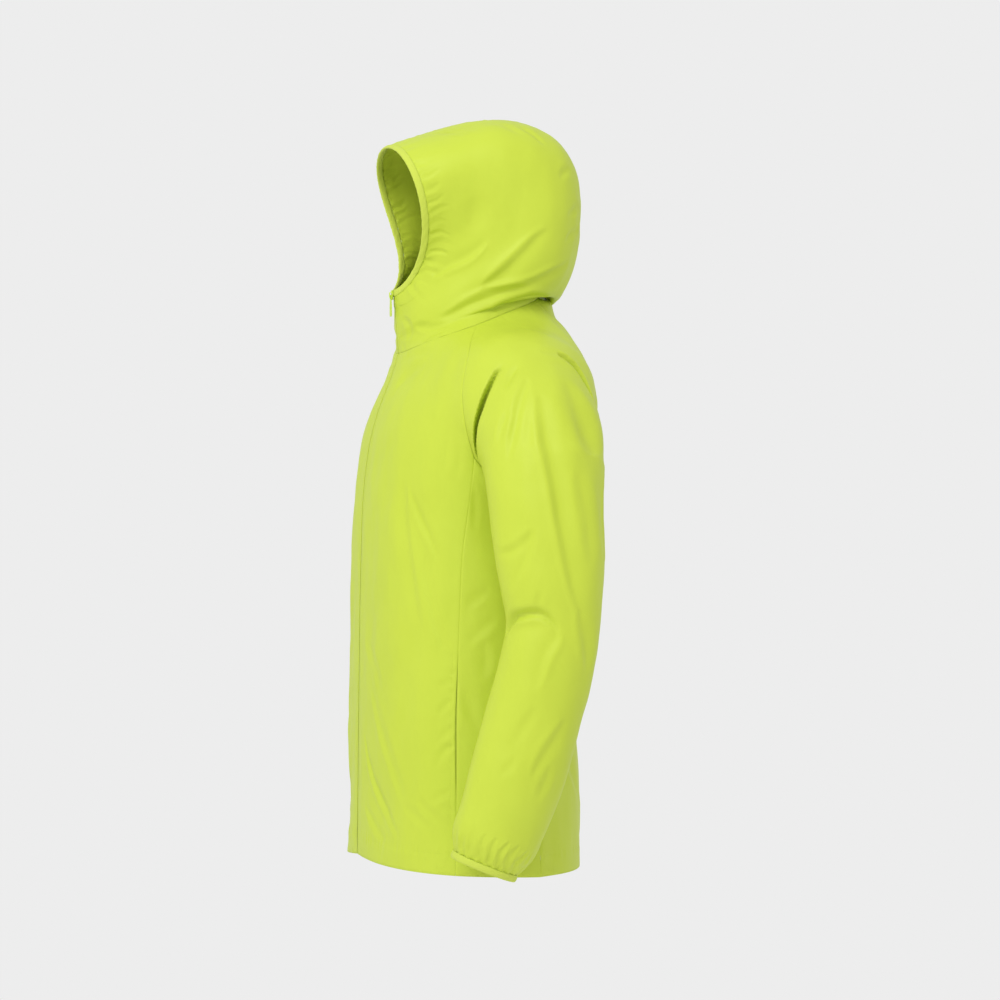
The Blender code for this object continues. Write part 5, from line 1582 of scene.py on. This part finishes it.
@dataclass
class Sewing:
    """Rows of lock stitch that lie on the cloth."""

    stitch: float = 2.3 * MM
    gap: float = 0.8 * MM
    thread: float = 0.22 * MM
    ends: float = 0.35  # a stitch's width at its ends, as a share
    places: list[Matrix] = field(default_factory=list)

    def row(self, cloth: bpy.types.Object, line: np.ndarray) -> None:
        """Lays one row of stitches on a panel.

        Args:
            cloth: the panel that the row is sewn in.
            line: points near the row, in metres.
        """
        surface = BVHTree.FromObject(cloth, bpy.context.evaluated_depsgraph_get())
        _, along = measured(line)
        pace = self.stitch + self.gap
        for number in range(int(along[-1] / pace)):
            ends = []
            for at in (number * pace, number * pace + self.stitch):
                place, normal, _, _ = surface.find_nearest(Vector(point_at(line, along, at)))
                ends.append((place, normal))
            (first, up), (second, _) = ends
            ahead = second - first
            if ahead.length < 0.5 * self.stitch:
                continue
            ahead.normalize()
            sideways = up.cross(ahead).normalized()
            turn = Matrix((ahead, sideways, ahead.cross(sideways))).transposed().to_4x4()
            self.places.append(Matrix.Translation((first + second) / 2) @ turn)

    def build(self) -> bpy.types.Object:
        """Makes every row one piece.

        Returns:
            The stitches.
        """
        stitch = add_rod(self.thread, self.stitch)
        with edit_mode(stitch):
            select_faces(stitch, lambda centre, normal: abs(normal.x) > FACING)
            bpy.ops.transform.resize(value=(1.0, self.ends, self.ends))
        rows = scattered("stitches", stitch.data, self.places, THREAD)
        bpy.data.objects.remove(stitch)
        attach(rows, "jacket")
        LOG.info("stitches: %d", len(self.places))
        return rows


# ---------------------------------------------------------------- studio


@dataclass(frozen=True)
class SoftLight:
    """A square soft light: where it stands from the jacket, its size and its power."""

    name: str
    azimuth: float
    elevation: float
    far: float
    size: float
    watts: float


LIGHTS = (
    SoftLight("key", azimuth=54.0, elevation=40.0, far=4.2, size=2.2, watts=84.0),
    SoftLight("front", azimuth=5.0, elevation=20.0, far=4.0, size=2.0, watts=6.0),
)
# The surround's grey, from straight down (0) to straight up (1)
SURROUND = ((0.0, 0.847), (0.57, 0.847), (0.63, 0.72), (1.0, 0.8))


@dataclass
class Studio:
    """A pale flat floor, two soft lights, a pale surround, and the camera."""

    floor: float = -1.45  # the shoulders are about that high over the floor
    floor_radius: float = 4.4
    floor_colour: str = "F4F4F4"
    aim: Point = (0.01197, 0.04467, -0.225)
    azimuth: float = 75.0
    distance: float = 4.8
    lens: float = 138.0
    sensor: float = 36.0

    def build(self) -> None:
        """Builds the floor, the lights and the camera."""
        self._floor()
        self._surround()
        for light in LIGHTS:
            lamp = bpy.data.lights.new(light.name, "AREA")
            lamp.shape = "SQUARE"
            lamp.size = light.size
            lamp.energy = light.watts
            self._stand(lamp, light.azimuth, light.elevation, light.far)
        self._camera()

    def _stand(
        self, data: bpy.types.ID, azimuth: float, elevation: float, far: float
    ) -> bpy.types.Object:
        """Stands a light or a camera off from the jacket, and aims it there.

        Args:
            data: the light or the camera.
            azimuth: degrees from the jacket's front to its left.
            elevation: degrees above it.
            far: how far off, in metres.

        Returns:
            The object that holds it.
        """
        a, e = math.radians(azimuth), math.radians(elevation)
        toward = Vector((math.sin(a) * math.cos(e), -math.cos(a) * math.cos(e), math.sin(e)))
        held = bpy.data.objects.new(data.name, data)
        held.location = Vector(self.aim) + toward * far
        held.rotation_euler = (-toward).to_track_quat("-Z", "Y").to_euler()
        bpy.context.scene.collection.objects.link(held)
        return held

    def _floor(self) -> None:
        """The floor, wide enough for every view."""
        deselect_all()
        bpy.ops.mesh.primitive_circle_add(
            vertices=96, radius=self.floor_radius, fill_type="NGON", location=(0, 0, self.floor)
        )
        floor = bpy.context.object
        floor.name = "floor"
        bpy.ops.object.transform_apply(location=True, rotation=True, scale=True)
        floor.data.materials.append(
            new_material(
                "matt studio floor",
                {
                    "Base Color": linear(self.floor_colour),
                    "Roughness": 0.9,
                    "Specular IOR Level": 0.1,
                },
            )
        )

    def _surround(self) -> None:
        """A pale surround, a little darker above the horizon than below it."""
        world = bpy.data.worlds.new("studio")
        world.use_nodes = True
        tree = world.node_tree
        place = add_node(tree, "ShaderNodeTexCoord")
        split = add_node(tree, "ShaderNodeSeparateXYZ", {"Vector": place.outputs["Generated"]})
        height = add_node(
            tree,
            "ShaderNodeMapRange",
            {"Value": split.outputs["Z"], "From Min": -1.0, "From Max": 1.0},
        )
        ramp = add_node(tree, "ShaderNodeValToRGB", {"Fac": height.outputs["Result"]})
        stops = ramp.color_ramp.elements
        for position, _ in SURROUND[1:-1]:
            stops.new(position)
        for stop, (_, level) in zip(stops, SURROUND):
            stop.color = (level, level, level, 1)
        tree.links.new(ramp.outputs["Color"], tree.nodes["Background"].inputs["Color"])
        bpy.context.scene.world = world

    def _camera(self) -> None:
        """The camera, level with the jacket's middle."""
        data = bpy.data.cameras.new("camera")
        data.lens = self.lens
        data.sensor_width = self.sensor
        data.clip_end = 200.0
        scene = bpy.context.scene
        scene.camera = self._stand(data, self.azimuth, 0.0, self.distance)
        scene.view_settings.view_transform = "Standard"


# ---------------------------------------------------------------- the jacket

# Lines down the middle of each hollow, in millimetres, for the jacket's left side
BODY_HOLLOW = ((0.0, 20.0, -690.0), (0.0, 20.0, 0.0))
HOOD_HOLLOW = ((0.0, 10.0, -30.0), (0.0, 30.0, 120.0))
SLEEVE_HOLLOW = (
    (60.0, 30.0, -100.0), (200.0, 30.0, -170.0), (275.0, 35.0, -340.0), (262.0, -45.0, -660.0)
)
# The flat size and area of each pair of panels, in metres, their hollow, creases and gathers
PAIRS = {
    "front": ((0.245, 0.69), 0.135, BODY_HOLLOW, FRONT_CREASES, (SEAM_PUCKERS, POCKET_PUCKERS)),
    "side": ((0.13, 0.52), 0.051, BODY_HOLLOW, SIDE_CREASES),
    "sleeve": ((0.45, 0.74), 0.230, SLEEVE_HOLLOW, SLEEVE_CREASES, (SEAM_PUCKERS, CUFF_PUCKERS)),
    "hood": (
        (0.30, 0.36), 0.089, HOOD_HOLLOW, HOOD_CREASES, (SEAM_PUCKERS, RIM_PUCKERS, CROWN_PUCKERS)
    ),
    "pocket": ((0.14, 0.26), 0.033, BODY_HOLLOW, (), ()),
    "zip_tape": ((0.0125, 0.74), 0.0085, BODY_HOLLOW, (), ()),
}
# What sets the pieces behind the shell apart from it
HIDDEN = {"levels": 2, "seam_dip": 0.0, "rumples": ()}
OWN = {
    "pocket": {**HIDDEN, "sink": 4.0 * MM},
    # the zip tape's finish carries painted shade in its colour
    "zip_tape": {**HIDDEN, "finish": SHADE_PAINTED_TAPE, "slot": "zip_tape"},
}
BINDINGS = ("cuff_left", "cuff_right", "hood_binding")
NEAR_CORNER = 3.2 * MM  # a border's point is held this near a corner or where three panels meet
NEAR_BINDING = 5 * MM  # and this near a binding


@dataclass
class Jacket:
    """The whole jacket: panels, bindings, zip and sewing."""

    nodes: dict[str, bpy.types.Object]
    panels: dict[str, ClothPanel] = field(default_factory=dict)

    def build(self) -> None:
        """Builds every piece and hands it to the frame."""
        self._cut_panels()
        for panel in self.panels.values():
            panel.take(self.nodes)
        self._hold_corners()
        for panel in self.panels.values():
            panel.build(SEWN_ROWS)
        bindings = {name: Binding(name).build(self.nodes) for name in BINDINGS}
        ZipSlider().build()
        PullTab().build()
        ZipCoil().build(self.nodes)
        self._sew()
        for name, panel in self.panels.items():
            sewn_on = []
            if name.startswith("sleeve"):
                sewn_on = [bindings[name.replace("sleeve", "cuff")]]
            panel.dress(sewn_on)

    def _hold_corners(self) -> None:
        """Holds the seams' ends, corners and bound edges, so that neighbours keep one outline."""
        places, names, sharp = [], [], []
        for name, panel in self.panels.items():
            if panel.slot == "shell_cloth" and not name.startswith("pocket"):
                own = "hood" if name.startswith("hood") else name  # its halves count as one
                places += panel.border.places
                names += [own] * len(panel.border.places)
                sharp += sharp_corners(panel.piece.data)
        tree = grow_tree(places)
        bound = []
        for name in BINDINGS:
            solid = self.nodes[name].data
            faces = [list(face.vertices) for face in solid.polygons]
            bound.append(BVHTree.FromPolygons([corner.co for corner in solid.vertices], faces))

        def kept(point: Vector) -> bool:
            """Whether a point is beside a seam's end, a corner or a binding."""
            near = {names[number] for _, number, _ in tree.find_range(point, NEAR_CORNER)}
            if len(near) > 2 or ("hood" in near and len(near) > 1):
                return True
            if any((point - corner).length < NEAR_CORNER for corner in sharp):
                return True
            return any(band.find_nearest(point)[3] < NEAR_BINDING for band in bound)

        for panel in self.panels.values():
            panel.hold(kept)

    def _sew(self) -> None:
        """Lays the visible rows of stitching: hem, crown seam, zip edges and pocket slits."""
        sewing = Sewing()
        for panel in self.panels.values():
            for line in panel.lines:
                sewing.row(panel.piece, line)
        sewing.build()

    def _cut_panels(self) -> None:
        """Lists the panels: the back, and each pair of the others side by side."""
        cut = [ClothPanel("back", None, (0.46, 0.71), 0.261, BODY_HOLLOW, BACK_CREASES)]
        for side in Side:
            for name, given in PAIRS.items():
                cut.append(ClothPanel(f"{name}_{side.word}", side, *given, **OWN.get(name, {})))
        self.panels = {panel.node: panel for panel in cut}


def main() -> None:
    """Builds the studio and the jacket."""
    logging.basicConfig(level=logging.INFO, format="%(name)s: %(message)s")
    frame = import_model()
    Studio().build()
    Jacket(frame["nodes"]).build()


if __name__ == "__main__":
    main()
